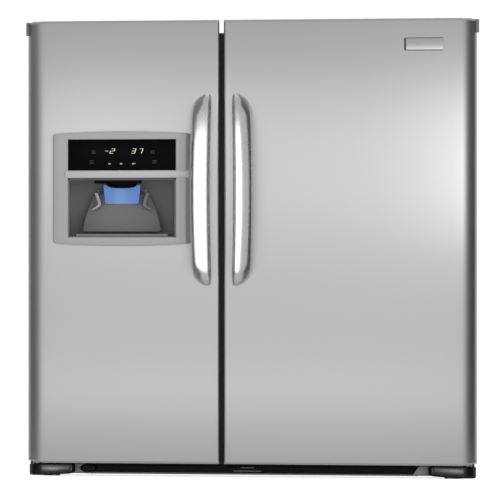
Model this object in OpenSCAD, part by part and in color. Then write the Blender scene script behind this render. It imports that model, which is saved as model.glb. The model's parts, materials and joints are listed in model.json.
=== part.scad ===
// Side by side refrigerator: a freezer on the left, a fresh food side on the right.
// Millimetres. X to the right, Y to the rear, Z up. The origin is under the middle of the whole box.

/* [Overall] */
// Width over the ears of the door top caps
overall_w = 914; // [912:1:918]
// Height of the door tops above the floor
overall_h = 1765; // [1760:1:1775]
// Depth from the handle fronts to the rear cover
overall_d = 840; // [836:2:850]

/* [Doors] */
// Width over both closed doors
doors_w = 905; // [900:1:906]
// Middle of the gap between the doors
gap_x = -59; // [-64:1:-56]
// Gap between the doors
gap_w = 9; // [8:0.5:11]
// Height of the doors' undersides
door_z0 = 50; // [48:1:54]
// Door thickness without its seal
door_t = 62; // [60:1:64]
// How far the handles stand out from the doors
handle_reach = 60; // [56:1:64]
// Thickness of the steel skins
skin_t = 1.2; // [1:0.1:1.6]
// Rise of each door front across its width
door_crown = 5; // [3:0.5:6]
// Width of the rounding at a door's outer edge
edge_w = 34; // [30:1:38]
// Depth of the rounding at a door's outer edge
edge_d = 22; // [20:1:26]
// Radius at a door's inner edge
edge_r = 8; // [6:0.5:9]
// Thickness of the caps on the doors' ends
cap_t = 8; // [7:0.5:9]

/* [Handles] */
// Width of a handle
handle_w = 39; // [36:1:42]
// Thickness of a handle
handle_t = 15; // [12:1:18]
// Lower end of the handles
handle_z0 = 736; // [720:2:750]
// Upper end of the handles
handle_z1 = 1483; // [1470:2:1500]
// Bow of the handles between their ends
handle_bow = 35; // [30:1:38]
// Distance of a handle's middle from the middle of the gap
handle_off = 41.5; // [40:0.5:44]

/* [Dispenser] */
// Left side of the dispenser frame
disp_x0 = -402; // [-404:1:-400]
// Right side of the dispenser frame
disp_x1 = -122; // [-124:1:-120]
// Underside of the dispenser frame
disp_z0 = 893; // [890:1:896]
// Top of the dispenser frame
disp_z1 = 1336; // [1334:1:1338]
// Width of the frame's side bars
disp_bar = 30.5; // [29:0.5:31]
// Thickness of the frame's top and bottom bars
disp_sill = 32; // [30:1:34]
// Underside of the rail between the display and the recess
rail_z0 = 1150; // [1148:1:1152]
// Top of the rail
rail_z1 = 1185; // [1183:1:1187]
// How far the frame stands out from the door
disp_reach = 14; // [12:1:16]

/* [Cabinet] */
// Width of the cabinet
cab_w = 896; // [892:1:898]
// Height of the cabinet's top
cab_z1 = 1715; // [1710:1:1718]
// Height of the cabinet's underside
cab_z0 = 85; // [84:1:88]
// Thickness of the walls between the shell and the liners
wall = 45; // [43:1:46]
// Thickness of the steel sheet
sheet = 1.5; // [1.2:0.1:1.6]
// Thickness of the plastic liners
liner_t = 2.5; // [2:0.25:3]
// Thickness of the door seals
seal_t = 11.5; // [11.4:0.05:11.6]

/* [Running parts] */
// Radius of the door hinge pins
pin_r = 6; // [5.5:0.25:6.5]
// Running clearance on radius
run = 0.06; // [0.04:0.01:0.08]
// Radius of the rear rollers
roller_r = 20; // [19:1:21]
// Radius of the levelling legs' threads
leg_r = 6; // [5:0.5:7]

/* [Hidden] */
$fn = 48;

// Depth stations, front to rear
front_y = -overall_d / 2;
door_y0 = front_y + handle_reach;
door_y1 = door_y0 + door_t;
cab_y0 = door_y1 + seal_t + 0.5;
cab_y1 = overall_d / 2 - 20;
rear_y = overall_d / 2;

// Width stations
door_x = doors_w / 2;
cab_x = cab_w / 2;
lip_l = gap_x - gap_w / 2;
lip_r = gap_x + gap_w / 2;
in_x = cab_x - wall;
mull_l = gap_x - wall / 2;
mull_r = gap_x + wall / 2;

// Height stations
in_z0 = cab_z0 + wall;
in_z1 = cab_z1 - wall - 5;
step_z = 390;
step_y = 85;
in_y1 = 330;
riser_y = step_y + wall;
deck_z = step_z - wall;
floor_z = 22;

// Door hinge axes, given for the left door and mirrored for the right one
axis_x = door_x - 18.5;
axis_y = door_y1 - 24;
skin_z0 = door_z0 + cap_t;
skin_z1 = overall_h - cap_t;
arm_z = skin_z1 + 1.2;
arm_t = 3;
ear_z0 = 1707;
ear_z1 = 1752;

// Dispenser stations
cav_x0 = disp_x0 + disp_bar + 0.5;
cav_x1 = disp_x1 - disp_bar + 0.5;
cav_z0 = disp_z0 + disp_sill + 1;
cav_z1 = disp_z1 - disp_sill + 1;
cav_y1 = -230;
chute_x = -261.5;
bulge_y = -220;
bulge_z1 = 1345;

// Heights of the shelves, drawers and ice bin, and the slip under what slides
frz_shelf_z = [700, 960];
basket_z = 150;
ice_bin_z = 1349;
shelf_z = [960, 1290];
shelf_t = 8;
crisper_z = [150, 400];
crisper_top_z = 640;
deli_flange_z = 934;
auger_x = -247;
auger_z = ice_bin_z + 46;
slip = 0.5;

// Paddle hinge and the front inlet filter
paddle_y = -250;
paddle_z = 1108;
paddle_w = 50;
paddle_lean = 8;
filter_x = -331;
filter_z = 30;

// Levelling legs and rear rollers
leg_x = 405;
leg_y = -270;
roller_x = 415;
roller_y = 350;

// Points along an arc from angle a0 to a1
function arc(cx, cy, rx, ry, a0, a1, n = 6) =
    [for (i = [0:n]) let (t = a0 + (a1 - a0) * i / n) [cx + rx * cos(t), cy + ry * sin(t)]];

// Outline of a rectangle from (x0, y0) to (x1, y1) with round corners
function rounded(x0, y0, x1, y1, r, n = 4) = concat(
    arc(x1 - r, y1 - r, r, r, 0, 90, n), arc(x0 + r, y1 - r, r, r, 90, 180, n),
    arc(x0 + r, y0 + r, r, r, 180, 270, n), arc(x1 - r, y0 + r, r, r, 270, 360, n));

// Plan outline of a door between its hinge edge xh and its handle edge xi, drawn in by d
function door_plan(xh, xi, d = 0, rear = 0) =
    let (
        s = sign(xi - xh), w = abs(xi - xh), h = w / 2,
        rw = edge_w - d, rd = edge_d - d, ri = edge_r - d,
        yf = door_y0 + door_crown + d,
        corner = arc(edge_w, yf - d + edge_d, rw, rd, 180, 270, 8),
        bow = [for (i = [1:11]) let (u = edge_w + (w - edge_w - edge_r) * i / 12)
            [u, yf - door_crown * (1 - pow((u - h) / h, 2))]],
        inner = arc(w - edge_r, yf - d + edge_r, ri, ri, 270, 360, 5))
    [for (p = concat(corner, bow, inner, [[w - d, door_y1 + rear], [d, door_y1 + rear]]))
        [xh + s * p[0], p[1]]];

// A block between two opposite corners
module block(a, b) {
    translate(a) cube(b - a);
}

// Blocks with round edges along Z, along Y and along X
module zbar(a, b, r, n = 4) {
    translate([0, 0, a[2]])
        linear_extrude(b[2] - a[2]) polygon(rounded(a[0], a[1], b[0], b[1], r, n));
}

module ybar(a, b, r, n = 4) {
    translate([0, b[1], 0]) rotate([90, 0, 0])
        linear_extrude(b[1] - a[1]) polygon(rounded(a[0], a[2], b[0], b[2], r, n));
}

module xbar(a, b, r, n = 4) {
    translate([a[0], 0, 0]) rotate([90, 0, 90])
        linear_extrude(b[0] - a[0]) polygon(rounded(a[1], a[2], b[1], b[2], r, n));
}

// A side profile in Y and Z, drawn out along X from x0 to x1
module side_shape(x0, x1, points) {
    translate([x0, 0, 0]) rotate([90, 0, 90]) linear_extrude(x1 - x0) polygon(points);
}

// Cylinders along Y and X from one point
module ycyl(p, r, l) {
    translate(p) rotate([-90, 0, 0]) cylinder(r = r, h = l);
}

module xcyl(p, r, l) {
    translate(p) rotate([0, 90, 0]) cylinder(r = r, h = l);
}

// Both sides of the cabinet
module both_sides() {
    for (s = [0, 1]) mirror([s, 0, 0]) children();
}

// An open-topped tub with round upright corners
module tub(a, b, t, r) {
    difference() {
        zbar(a, b, r);
        zbar([a[0] + t, a[1] + t, a[2] + t], [b[0] - t, b[1] - t, b[2] + 1], r - t);
    }
}

// A flat ring in X and Z
module frame_ring(x0, x1, z0, z1, w, y0, y1, r) {
    difference() {
        ybar([x0, y0, z0], [x1, y1, z1], r);
        ybar([x0 + w, y0 - 1, z0 + w], [x1 - w, y1 + 1, z1 - w], max(r - w, 2));
    }
}

// ---- Cabinet ----

module cabinet_shell() {
    inner = cab_x - sheet;
    color("silver") union() {
        // Sides and top in one wrapper
        both_sides() block([inner, cab_y0, 25], [cab_x, cab_y1, cab_z1]);
        block([-inner, cab_y0, cab_z1 - sheet], [inner, cab_y1, cab_z1]);
        // Face that the seals close on
        difference() {
            block([-inner, cab_y0, cab_z0], [inner, cab_y0 + sheet, cab_z1 - sheet]);
            block([-in_x, cab_y0 - 1, in_z0], [mull_l, cab_y0 + sheet + 1, in_z1]);
            block([mull_r, cab_y0 - 1, in_z0], [in_x, cab_y0 + sheet + 1, in_z1]);
        }
        // Floor, riser and deck over the machine room
        block([-inner, cab_y0 + sheet, cab_z0], [inner, riser_y, cab_z0 + sheet]);
        block([-inner, riser_y, cab_z0], [inner, riser_y + sheet, deck_z + sheet]);
        block([-inner, riser_y + sheet, deck_z], [inner, cab_y1, deck_z + sheet]);
    }
}

module cabinet_back() {
    inner = cab_x - sheet;
    color("silver") union() {
        block([-inner, cab_y1 - sheet, deck_z + sheet], [inner, cab_y1, cab_z1 - sheet]);
        // Pressed stiffening panels
        for (x = [-300, -100, 100, 300])
            ybar([x - 80, cab_y1, 450], [x + 80, cab_y1 + 3, 1600], 20);
    }
}

// A stepped liner, open at the front, between inner walls x0 and x1
module liner(x0, x1) {
    y0 = cab_y0 + sheet;
    yo = in_y1 + liner_t;
    difference() {
        union() {
            side_shape(x0 - liner_t, x1 + liner_t, [
                [y0, in_z0 - liner_t], [step_y + liner_t, in_z0 - liner_t],
                [step_y + liner_t, step_z - liner_t], [yo, step_z - liner_t],
                [yo, in_z1 + liner_t], [y0, in_z1 + liner_t]]);
            block([x0 - 12, y0, in_z0 - 12], [x1 + 12, y0 + liner_t, in_z1 + 12]);
        }
        side_shape(x0, x1, [
            [y0 - 1, in_z0], [step_y, in_z0], [step_y, step_z], [in_y1, step_z],
            [in_y1, in_z1], [y0 - 1, in_z1]]);
    }
}

// Rails moulded on a liner's side walls: they carry shelves and drawers
module rails(x0, x1, zs, ya, yb, w = 8) {
    for (z = zs) {
        block([x0, ya, z - 6], [x0 + w, yb, z]);
        block([x1 - w, ya, z - 6], [x1, yb, z]);
    }
}

module freezer_liner() {
    color("white") union() {
        liner(-in_x, mull_l);
        rails(-in_x, mull_l, frz_shelf_z, -160, 220);
        rails(-in_x, mull_l, [basket_z - slip], -120, 70, 16);
        rails(-in_x, mull_l, [ice_bin_z - slip], -240, 100);
    }
}

module fridge_liner() {
    color("white") union() {
        liner(mull_r, in_x);
        rails(mull_r, in_x, concat(shelf_z, [crisper_top_z]), -120, 300);
        rails(mull_r, in_x, [crisper_z[0] - slip], -90, 70, 20);
        rails(mull_r, in_x, [crisper_z[1] - slip], -90, 285, 20);
        rails(mull_r, in_x, [deli_flange_z - slip], -90, 245, 20);
    }
}

module base_frame() {
    color("dimgray") difference() {
        union() {
            // Front beam and side rails
            block([-440, -284, 30], [440, -264, cab_z0]);
            both_sides() block([396, -264, 46], [402, 396, cab_z0]);
            // Compressor tray across the rear
            block([-396, 140, floor_z + 24], [396, 396, floor_z + 27]);
            block([-396, 136, floor_z + 24], [396, 140, cab_z0]);
            // Bosses for the levelling legs
            both_sides() block([leg_x - 16, -284, 30], [leg_x + 16, leg_y + 14, 60]);
            both_sides() roller_bracket();
        }
        both_sides() translate([leg_x, leg_y, 0]) cylinder(r = leg_r + run, h = 120);
        ycyl([filter_x, -290, filter_z], 16, 30);
    }
}

module roller_bracket() {
    block([396, roller_y - 14, 8], [402, roller_y + 14, 46]);
    block([428, roller_y - 14, 8], [434, roller_y + 14, 46]);
    block([402, roller_y - 14, 43], [428, roller_y + 14, 46]);
    xcyl([396, roller_y, roller_r], 5, 38);
}

module toe_grille() {
    zs = [16, 24, 32, 40];
    color("black") difference() {
        union() {
            // Frame, slats and end blocks
            difference() {
                ybar([-360, -300, 10], [341, -286, 49], 6);
                block([-330, -301, 15], [320, -285, 45]);
            }
            for (z = zs) block([-331, -299, z - 1.5], [321, -287, z + 1.5]);
            for (x = [-200, -60, 60, 200]) block([x - 2, -294, 14], [x + 2, -287, 46]);
            ycyl([filter_x, -300, filter_z], 19.5, 12);
        }
        ycyl([filter_x, -301, filter_z], 17.5, 20);
    }
}

// Cover of one bottom hinge, between x0 and x1, with a slot over the hinge at x
module foot_pod(x0, x1, x) {
    y1 = -289;
    difference() {
        union() {
            zbar([x0, -345, 2], [x1, y1, 40], 18, 6);
            zbar([x0 + 3, -341, 40], [x1 - 3, y1, 45], 15, 6);
            zbar([x0 + 8, -336, 45], [x1 - 8, y1, 48.5], 12, 6);
        }
        zbar([x0 + 6, -339, 1], [x1 - 6, y1 + 1, 38], 12, 6);
        block([x - 14, axis_y - 14, 37], [x + 14, y1 + 1, 60]);
    }
}

module foot_pods() {
    color("black") foot_pod(-452, -360, -axis_x);
    color("black") foot_pod(345, 453, axis_x);
}

module bottom_hinges() {
    color("dimgray") both_sides() union() {
        block([axis_x - 12, axis_y, 41], [axis_x + 12, -284, 46]);
        block([axis_x - 30, -288, 41], [axis_x + 6, -284, 84]);
        translate([axis_x, axis_y, 41]) cylinder(r = 12, h = 5);
        translate([axis_x, axis_y, 46]) cylinder(r = pin_r, h = 34);
    }
}

module top_hinges() {
    color("silver") both_sides() union() {
        block([axis_x - 60, -270, cab_z1], [axis_x + 7, -190, cab_z1 + 4]);
        block([axis_x - 10, -276, cab_z1], [axis_x + 7, -270, arm_z + arm_t]);
        block([axis_x - 10, axis_y, arm_z], [axis_x + 7, -276, arm_z + arm_t]);
        translate([axis_x, axis_y, arm_z]) cylinder(r = 10, h = arm_t);
        translate([axis_x, axis_y, arm_z - 30]) cylinder(r = pin_r, h = 30);
    }
}

module hinge_covers() {
    color("dimgray") both_sides() difference() {
        zbar([axis_x - 70, -284, cab_z1], [cab_x - 2, -180, overall_h - 0.5], 8);
        zbar([axis_x - 66, -280, cab_z1 - 1], [cab_x - 4, -184, overall_h - 3], 5);
        block([axis_x - 12, -290, arm_z - 1], [axis_x + 12, -279, arm_z + arm_t + 1]);
    }
}

// ---- Machine room ----

module compressor() {
    c = [-260, 262];
    color("black") union() {
        translate([c[0], c[1], 70]) cylinder(r = 78, h = 95);
        translate([c[0], c[1], 165]) sphere(r = 78);
        translate([c[0], c[1], 60]) cylinder(r = 70, h = 10);
        // Feet plate, rubber feet and terminal box
        block([c[0] - 105, c[1] - 60, 56], [c[0] + 105, c[1] + 60, 60]);
        for (x = [-95, 95], y = [-50, 50])
            translate([c[0] + x, c[1] + y, floor_z + 27]) cylinder(r = 10, h = 56 - floor_z - 27);
        block([c[0] - 30, c[1] - 98, 90], [c[0] + 30, c[1] - 70, 150]);
        // Discharge and suction stubs
        translate([c[0] + 60, c[1] + 60, 150]) cylinder(r = 4, h = 130);
        translate([c[0] - 60, c[1] + 60, 150]) cylinder(r = 5, h = 130);
    }
}

module condenser() {
    // Folded tube bundle with wire fins, and the fan motor on its bracket
    rows = [70, 110, 150, 190, 230, 270];
    color("black") union() {
        for (z = rows, y = [190, 230, 270, 310])
            xcyl([120, y, z], 4, 240);
        for (i = [0:15]) block([128 + i * 15, 180, 60], [129.5 + i * 15, 320, 280]);
        block([122, 180, 49], [358, 320, 52]);
        for (x = [128, 338]) block([x, 240, 49], [x + 16, 260, 62]);
        // Motor bracket and motor with its shaft bore
        difference() {
            union() {
                block([40, 246, 49], [46, 254, 170]);
                xcyl([30, 250, 170], 26, 45);
            }
            xcyl([74 - 40, 250, 170], 3 + run, 50);
        }
    }
}

// Propeller blades round a hub, along Z
module blades(count, r0, r1, chord, t, pitch) {
    for (i = [0:count - 1]) rotate([0, 0, i * 360 / count])
        translate([r0 - 3, 0, 0]) rotate([pitch, 0, 0])
            translate([0, -chord / 2, -t / 2]) cube([r1 - r0 + 3, chord, t]);
}

module condenser_fan() {
    color("dimgray") translate([84, 250, 170]) rotate([0, 90, 0]) union() {
        cylinder(r = 20, h = 16);
        translate([0, 0, 8]) blades(5, 20, 78, 34, 2, 28);
        translate([0, 0, -46]) cylinder(r = 3, h = 47);
    }
}

module drain_pan() {
    color("dimgray") tub([-130, 170, 49], [20, 380, 75], 2, 12);
}

module machine_cover() {
    color("silver") difference() {
        union() {
            block([-cab_x + 2, cab_y1, 28], [cab_x - 2, cab_y1 + 1.5, deck_z - 2]);
            ybar([-400, cab_y1, 45], [400, rear_y, deck_z - 20], 14);
        }
        ybar([-398, cab_y1 - 1, 47], [398, rear_y - 2, deck_z - 22], 12);
        for (x = [-340, 180], i = [0:7])
            block([x, rear_y - 5, 90 + i * 26], [x + 160, rear_y + 1, 98 + i * 26]);
        // Ports for the water inlet and the mains cord
        ycyl([60, 390, 110], 14, 40);
        ycyl([0, 390, 110], 9, 40);
    }
}

module inlet_valve() {
    // Solenoid valve with its threaded inlet, and the cord gland beside it
    color("white") difference() {
        union() {
            block([45, 372, 90], [75, 398, 130]);
            translate([60, 385, 130]) cylinder(r = 12, h = 34);
            ycyl([60, 398, 110], 13, 20);
            block([-12, 396, 98], [12, 399, 122]);
            ycyl([0, 399, 110], 8.5, 19);
            block([12, 396, 104], [45, 398, 116]);
        }
        ycyl([60, 392, 110], 9.5, 30);
        ycyl([0, 390, 110], 4.5, 40);
    }
}

// ---- Freezer works ----

module evaporator() {
    x0 = -390;
    x1 = -95;
    color("silver") union() {
        for (i = [0:23]) block([x0 + 14 + i * 11.6, 262, 470], [x0 + 15 + i * 11.6, 322, 840]);
        for (i = [0:8]) for (y = [277, 307]) xcyl([x0, y, 490 + i * 41], 4, x1 - x0);
        for (x = [x0, x1 - 3]) block([x, 262, 470], [x + 3, 322, 840]);
    }
}

module evaporator_cover() {
    x0 = -in_x + 1;
    x1 = mull_l - 1;
    fan = [(x0 + x1) / 2, 244, 1000];
    color("white") union() {
        difference() {
            union() {
                block([x0, 244, step_z + 2], [x1, 247, 1180]);
                block([x0, 247, step_z + 2], [x0 + 3, 329, 1180]);
                block([x1 - 3, 247, step_z + 2], [x1, 329, 1180]);
                block([x0, 244, 1180], [x1, 329, 1183]);
                translate([fan[0], 247, fan[2]]) rotate([-90, 0, 0]) cylinder(r = 72, h = 22);
            }
            translate([fan[0], 240, fan[2]]) rotate([-90, 0, 0]) cylinder(r = 68, h = 40);
            for (i = [0:7]) block([x0 + 40, 243, 420 + i * 14], [x1 - 40, 248, 426 + i * 14]);
            for (x = [-360, -250, -140]) block([x - 20, 243, 1110], [x + 20, 248, 1140]);
        }
        // Motor on three arms
        difference() {
            union() {
                translate([fan[0], 270, fan[2]]) rotate([-90, 0, 0]) cylinder(r = 18, h = 30);
                for (a = [90, 210, 330]) translate([fan[0], 0, fan[2]]) rotate([0, a, 0])
                    block([0, 282, -4], [71, 286, 4]);
                for (a = [90, 210, 330]) translate([fan[0], 0, fan[2]]) rotate([0, a, 0])
                    block([68.5, 268, -4], [72, 286, 4]);
            }
            translate([fan[0], 265, fan[2]]) rotate([-90, 0, 0]) cylinder(r = 2 + run, h = 30);
        }
    }
}

module evaporator_fan() {
    fan = [(mull_l - in_x) / 2, 252, 1000];
    color("white") translate(fan) rotate([-90, 0, 0]) union() {
        cylinder(r = 14, h = 12);
        translate([0, 0, 6]) blades(4, 14, 58, 26, 2, 25);
        translate([0, 0, 11.9]) cylinder(r = 2, h = 30);
    }
}

module freezer_shelves() {
    x0 = -in_x + 1;
    x1 = mull_l - 1;
    color("white") for (z = frz_shelf_z) union() {
        xbar([x0, -165, z], [x1, -157, z + 8], 3);
        xbar([x0, 228, z], [x1, 236, z + 8], 3);
        for (x = [x0, x1 - 6]) block([x, -160, z], [x + 6, 231, z + 6]);
        for (i = [1:12]) block([x0 + i * 23.2, -160, z + 1], [x0 + i * 23.2 + 4, 231, z + 5]);
    }
}

module freezer_basket() {
    // Pull-out basket with a slatted front and sides
    a = [-in_x + 9, -130, basket_z];
    b = [mull_l - 9, 70, basket_z + 180];
    color("white") difference() {
        tub(a, b, 3, 14);
        for (i = [0:5]) for (y = [a[1] - 1, b[1] - 4])
            block([a[0] + 30 + i * 44, y, a[2] + 50], [a[0] + 56 + i * 44, y + 5, a[2] + 130]);
    }
}

module ice_maker() {
    color("white") union() {
        difference() {
            zbar([-380, -60, 1585], [-120, 40, 1640], 8);
            for (i = [0:6])
                zbar([-368 + i * 30, -50, 1600], [-342 + i * 30, 30, 1641], 6);
        }
        block([-152, -72, 1570], [-121, -60, 1650]);
        block([-370, 40, 1610], [-130, 120, 1616]);
        for (x = [-370, -136]) block([x, 40, 1616], [x + 6, 120, in_z1]);
        xcyl([-158, -40, 1570], 4, 20);
        block([-158, -48, 1570], [-150, -32, 1586]);
        difference() {
            block([-172, -50, 1560], [-164, -30, 1586]);
            xcyl([-173, -40, 1570], 3 + run, 10);
        }
    }
}

module feeler_arm() {
    // Wire that feels how full the bin is
    color("silver") union() {
        xcyl([-190, -40, 1570], 3, 28);
        xcyl([-193, -40, 1570], 5, 6);
        translate([-190, -40, 1570]) rotate([0, 0, 0]) block([-3, -1.5, -60], [0, 1.5, 0]);
        xcyl([-300, -40, 1511.5], 1.5, 110);
    }
}

module ice_bin() {
    a = [-in_x + 2, -250, ice_bin_z];
    b = [mull_l - 2, 100, ice_bin_z + 131];
    color("white") difference() {
        union() {
            tub(a, b, 3, 12);
            // Bearing blocks for the auger
            block([auger_x - 20, a[1] + 30, a[2] + 3], [auger_x + 20, a[1] + 40, a[2] + 70]);
            block([auger_x - 20, b[1] - 20, a[2] + 3], [auger_x + 20, b[1] - 3, a[2] + 70]);
        }
        block([auger_x - 28, a[1] + 4, a[2] - 1], [auger_x + 28, a[1] + 16, a[2] + 4]);
        ycyl([auger_x, a[1] + 25, auger_z], 5 + run, 400);
    }
}

module auger() {
    // Shaft with pitched flights, and the drive fork at its rear
    color("silver") translate([auger_x, -238, auger_z]) rotate([-90, 0, 0]) union() {
        cylinder(r = 5, h = 358);
        for (i = [0:19]) translate([0, 0, 46 + i * 13]) rotate([0, 0, i * 60])
            rotate([18, 0, 0]) translate([2, -11, -1.5]) cube([25, 22, 3]);
        translate([-16, -3, 350]) cube([32, 6, 8]);
    }
}

// ---- Fresh food works ----

module glass_shelves() {
    // Two glass shelves and the glass crisper cover, each in its rim
    x0 = mull_r + 1;
    x1 = in_x - 1;
    color("lightblue") for (z = concat(shelf_z, [crisper_top_z]))
        xbar([x0, -130, z], [x1, 300, z + shelf_t], 3);
}

module control_housing() {
    color("white") union() {
        difference() {
            zbar([20, -40, in_z1 - 50], [350, 200, in_z1], 14);
            zbar([23, -37, in_z1 - 47], [347, 197, in_z1 + 1], 11);
        }
        ycyl([110, -52, in_z1 - 26], 14, 12);
        ycyl([260, -52, in_z1 - 26], 14, 12);
    }
}

// A crisper drawer with a finger grip along its front
module crisper(z0, z1, y1) {
    x0 = mull_r + 14;
    x1 = in_x - 14;
    color("lightblue") union() {
        tub([x0, -95, z0], [x1, y1, z1], 3, 10);
        difference() {
            xbar([x0 + 60, -111, z1 - 34], [x1 - 60, -95, z1 - 4], 5);
            xbar([x0 + 64, -106, z1 - 40], [x1 - 64, -94, z1 - 10], 3);
        }
    }
}

module crisper_upper() {
    crisper(crisper_z[1], crisper_z[1] + 222, 290);
}

module crisper_lower() {
    crisper(crisper_z[0], crisper_z[0] + 226, 70);
}

module humidity_slider() {
    color("white") union() {
        block([160, -140, 645], [200, -131, 650]);
        block([160, -140, 632], [200, -136, 645]);
        block([174, -144, 634], [186, -140, 648]);
    }
}

module deli_drawer() {
    color("lightblue") union() {
        tub([mull_r + 60, -95, deli_flange_z - 84], [in_x - 60, 250, deli_flange_z + 8], 3, 10);
        for (x = [mull_r + 10, in_x - 60])
            block([x, -90, deli_flange_z], [x + 50, 245, deli_flange_z + 4]);
    }
}

module water_filter() {
    // Cartridge lying in the base, with its knob through the grille
    color("white") union() {
        ycyl([filter_x, -307, filter_z], 16.5, 14);
        ycyl([filter_x, -293, filter_z], 14, 40);
        ycyl([filter_x, -260, filter_z], 19, 250);
        block([filter_x - 4, -312, filter_z - 14], [filter_x + 4, -306, filter_z + 14]);
    }
}

module levelling_leg() {
    color("dimgray") union() {
        cylinder(r = 17, h = 8);
        translate([0, 0, 8]) cylinder(r = 11, h = 8, $fn = 6);
        translate([0, 0, 16]) cylinder(r = leg_r, h = 62);
    }
}

module levelling_leg_left() {
    translate([-leg_x, leg_y, 0]) levelling_leg();
}

module levelling_leg_right() {
    translate([leg_x, leg_y, 0]) levelling_leg();
}

module roller(x) {
    color("dimgray") difference() {
        xcyl([x - 11, roller_y, roller_r], roller_r, 22);
        xcyl([x - 12, roller_y, roller_r], 5 + run, 24);
    }
}

module roller_left() {
    roller(-roller_x);
}

module roller_right() {
    roller(roller_x);
}

// ---- Doors ----

module door_skin(xh, xi) {
    translate([0, 0, skin_z0]) linear_extrude(skin_z1 - skin_z0) difference() {
        polygon(door_plan(xh, xi));
        polygon(door_plan(xh, xi, skin_t, 5));
    }
}

module freezer_door_skin() {
    color("silver") difference() {
        door_skin(-door_x, lip_l);
        block([cav_x0 - 6, front_y, cav_z0 - 8], [cav_x1 + 6, door_y0 + 20, cav_z1 + 8]);
    }
}

module fridge_door_skin() {
    color("silver") door_skin(door_x, lip_r);
}

// Thermoformed inner panel with a raised dike round its edge
module inner_panel(x0, x1) {
    z0 = skin_z0 + 1;
    z1 = skin_z1 - 1;
    dx = wall + 9;
    dz = 92;
    y1 = door_y1 - 2.5;
    difference() {
        union() {
            block([x0, y1, z0], [x1, door_y1, z1]);
            ybar([x0 + dx, door_y1, z0 + dz], [x1 - dx, door_y1 + 36, z1 - dz - 14], 12);
        }
        // Hollow behind the dike
        ybar([x0 + dx + 3, y1 - 1, z0 + dz + 3], [x1 - dx - 3, door_y1 + 33, z1 - dz - 17], 10);
    }
}

// Field inside the dike, set back towards the door
module panel_field(x0, x1) {
    z0 = skin_z0 + 1 + 92 + 26;
    z1 = skin_z1 - 1 - 92 - 14 - 26;
    dx = wall + 9 + 22;
    difference() {
        children();
        ybar([x0 + dx, door_y1 + 3, z0], [x1 - dx, door_y1 + 60, z1], 10);
    }
    difference() {
        ybar([x0 + dx - 3, door_y1, z0 - 3], [x1 - dx + 3, door_y1 + 33.5, z1 + 3], 12);
        ybar([x0 + dx, door_y1 + 3, z0], [x1 - dx, door_y1 + 60, z1], 10);
    }
}

module freezer_door_liner() {
    x0 = -door_x + skin_t;
    x1 = lip_l - skin_t;
    color("white") difference() {
        union() {
            panel_field(x0, x1) inner_panel(x0, x1);
            ybar([cav_x0 - 14, door_y1, cav_z0 - 16], [cav_x1 + 14, bulge_y, bulge_z1], 14);
            bin_studs(x0 + 76, x1 - 76, [300, 640]);
        }
        ybar([cav_x0 - 11, door_y0 + 30, cav_z0 - 13], [cav_x1 + 11, bulge_y - 3, bulge_z1 - 3], 12);
        block([chute_x - 31, -302, bulge_z1 - 5], [chute_x + 31, bulge_y - 6, bulge_z1 + 5]);
    }
}

// Studs on the dike's inner walls that the door bins hang on
module bin_studs(x0, x1, zs) {
    for (z = zs) {
        block([x0, door_y1 + 8, z - 40], [x0 + 5, door_y1 + 24, z]);
        block([x1 - 5, door_y1 + 8, z - 40], [x1, door_y1 + 24, z]);
    }
}

module fridge_door_liner() {
    x0 = lip_r + skin_t;
    x1 = door_x - skin_t;
    color("white") union() {
        panel_field(x0, x1) inner_panel(x0, x1);
        bin_studs(x0 + 76, x1 - 76, [400, 800]);
        // Dairy compartment: floor, ends and the bosses that the lid turns on
        block([x0 + 76, door_y1 + 3, 1380], [x1 - 76, -190, 1384]);
        for (x = [x0 + 76, x1 - 80]) difference() {
            block([x, door_y1 + 3, 1384], [x + 4, -190, 1500]);
            xcyl([x - 1, -204, 1488], 4 + run, 6);
        }
    }
}

module dairy_lid() {
    x0 = lip_r + skin_t + 81;
    x1 = door_x - skin_t - 81;
    color("lightblue") union() {
        block([x0, -199, 1390], [x1, -196, 1484]);
        block([x0, -205, 1484], [x1, -196, 1492]);
        xcyl([x0 - 4.5, -204, 1488], 4, x1 - x0 + 9);
    }
}

// Ring seal on the rear of a door
module seal(x0, x1) {
    z0 = skin_z0 + 34;
    z1 = cab_z1 - 6;
    frame_ring(x0, x1, z0, z1, 22, door_y1, door_y1 + seal_t, 12);
}

module freezer_door_gasket() {
    color("gray") seal(-door_x + 18, lip_l - 4);
}

module fridge_door_gasket() {
    color("gray") seal(lip_r + 4, door_x - 18);
}

// End caps of a door with its hinge bushes; the hinge is at x = s * axis_x
module door_caps(xh, xi) {
    s = sign(xh);
    difference() {
        union() {
            translate([0, 0, skin_z1]) linear_extrude(cap_t) polygon(door_plan(xh, xi));
            translate([0, 0, door_z0]) linear_extrude(cap_t) polygon(door_plan(xh, xi));
            translate([s * axis_x, axis_y, skin_z1 - 36]) cylinder(r = 13, h = 36);
            translate([s * axis_x, axis_y, skin_z0]) cylinder(r = 13, h = 30);
            // Ear that wraps the top of the hinge side
            ear(s);
        }
        translate([s * axis_x, axis_y, skin_z1 - 32]) cylinder(r = pin_r + run, h = 60);
        translate([s * axis_x, axis_y, door_z0 - 1]) cylinder(r = pin_r + run, h = 34);
        // Recess that the hinge arm turns in
        notch = [s * (axis_x - 11), s * (door_x + 20)];
        block([min(notch), axis_y - 19, arm_z - 1.5], [max(notch), door_y1 + 20, overall_h + 5]);
    }
}

module ear(s) {
    xs = [s * door_x, s * overall_w / 2];
    ybar([min(xs), axis_y - 14, ear_z0], [max(xs), door_y1, ear_z1], 2);
}

module freezer_door_caps() {
    color("silver") door_caps(-door_x, lip_l);
}

module fridge_door_caps() {
    color("silver") door_caps(door_x, lip_r);
}

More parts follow.
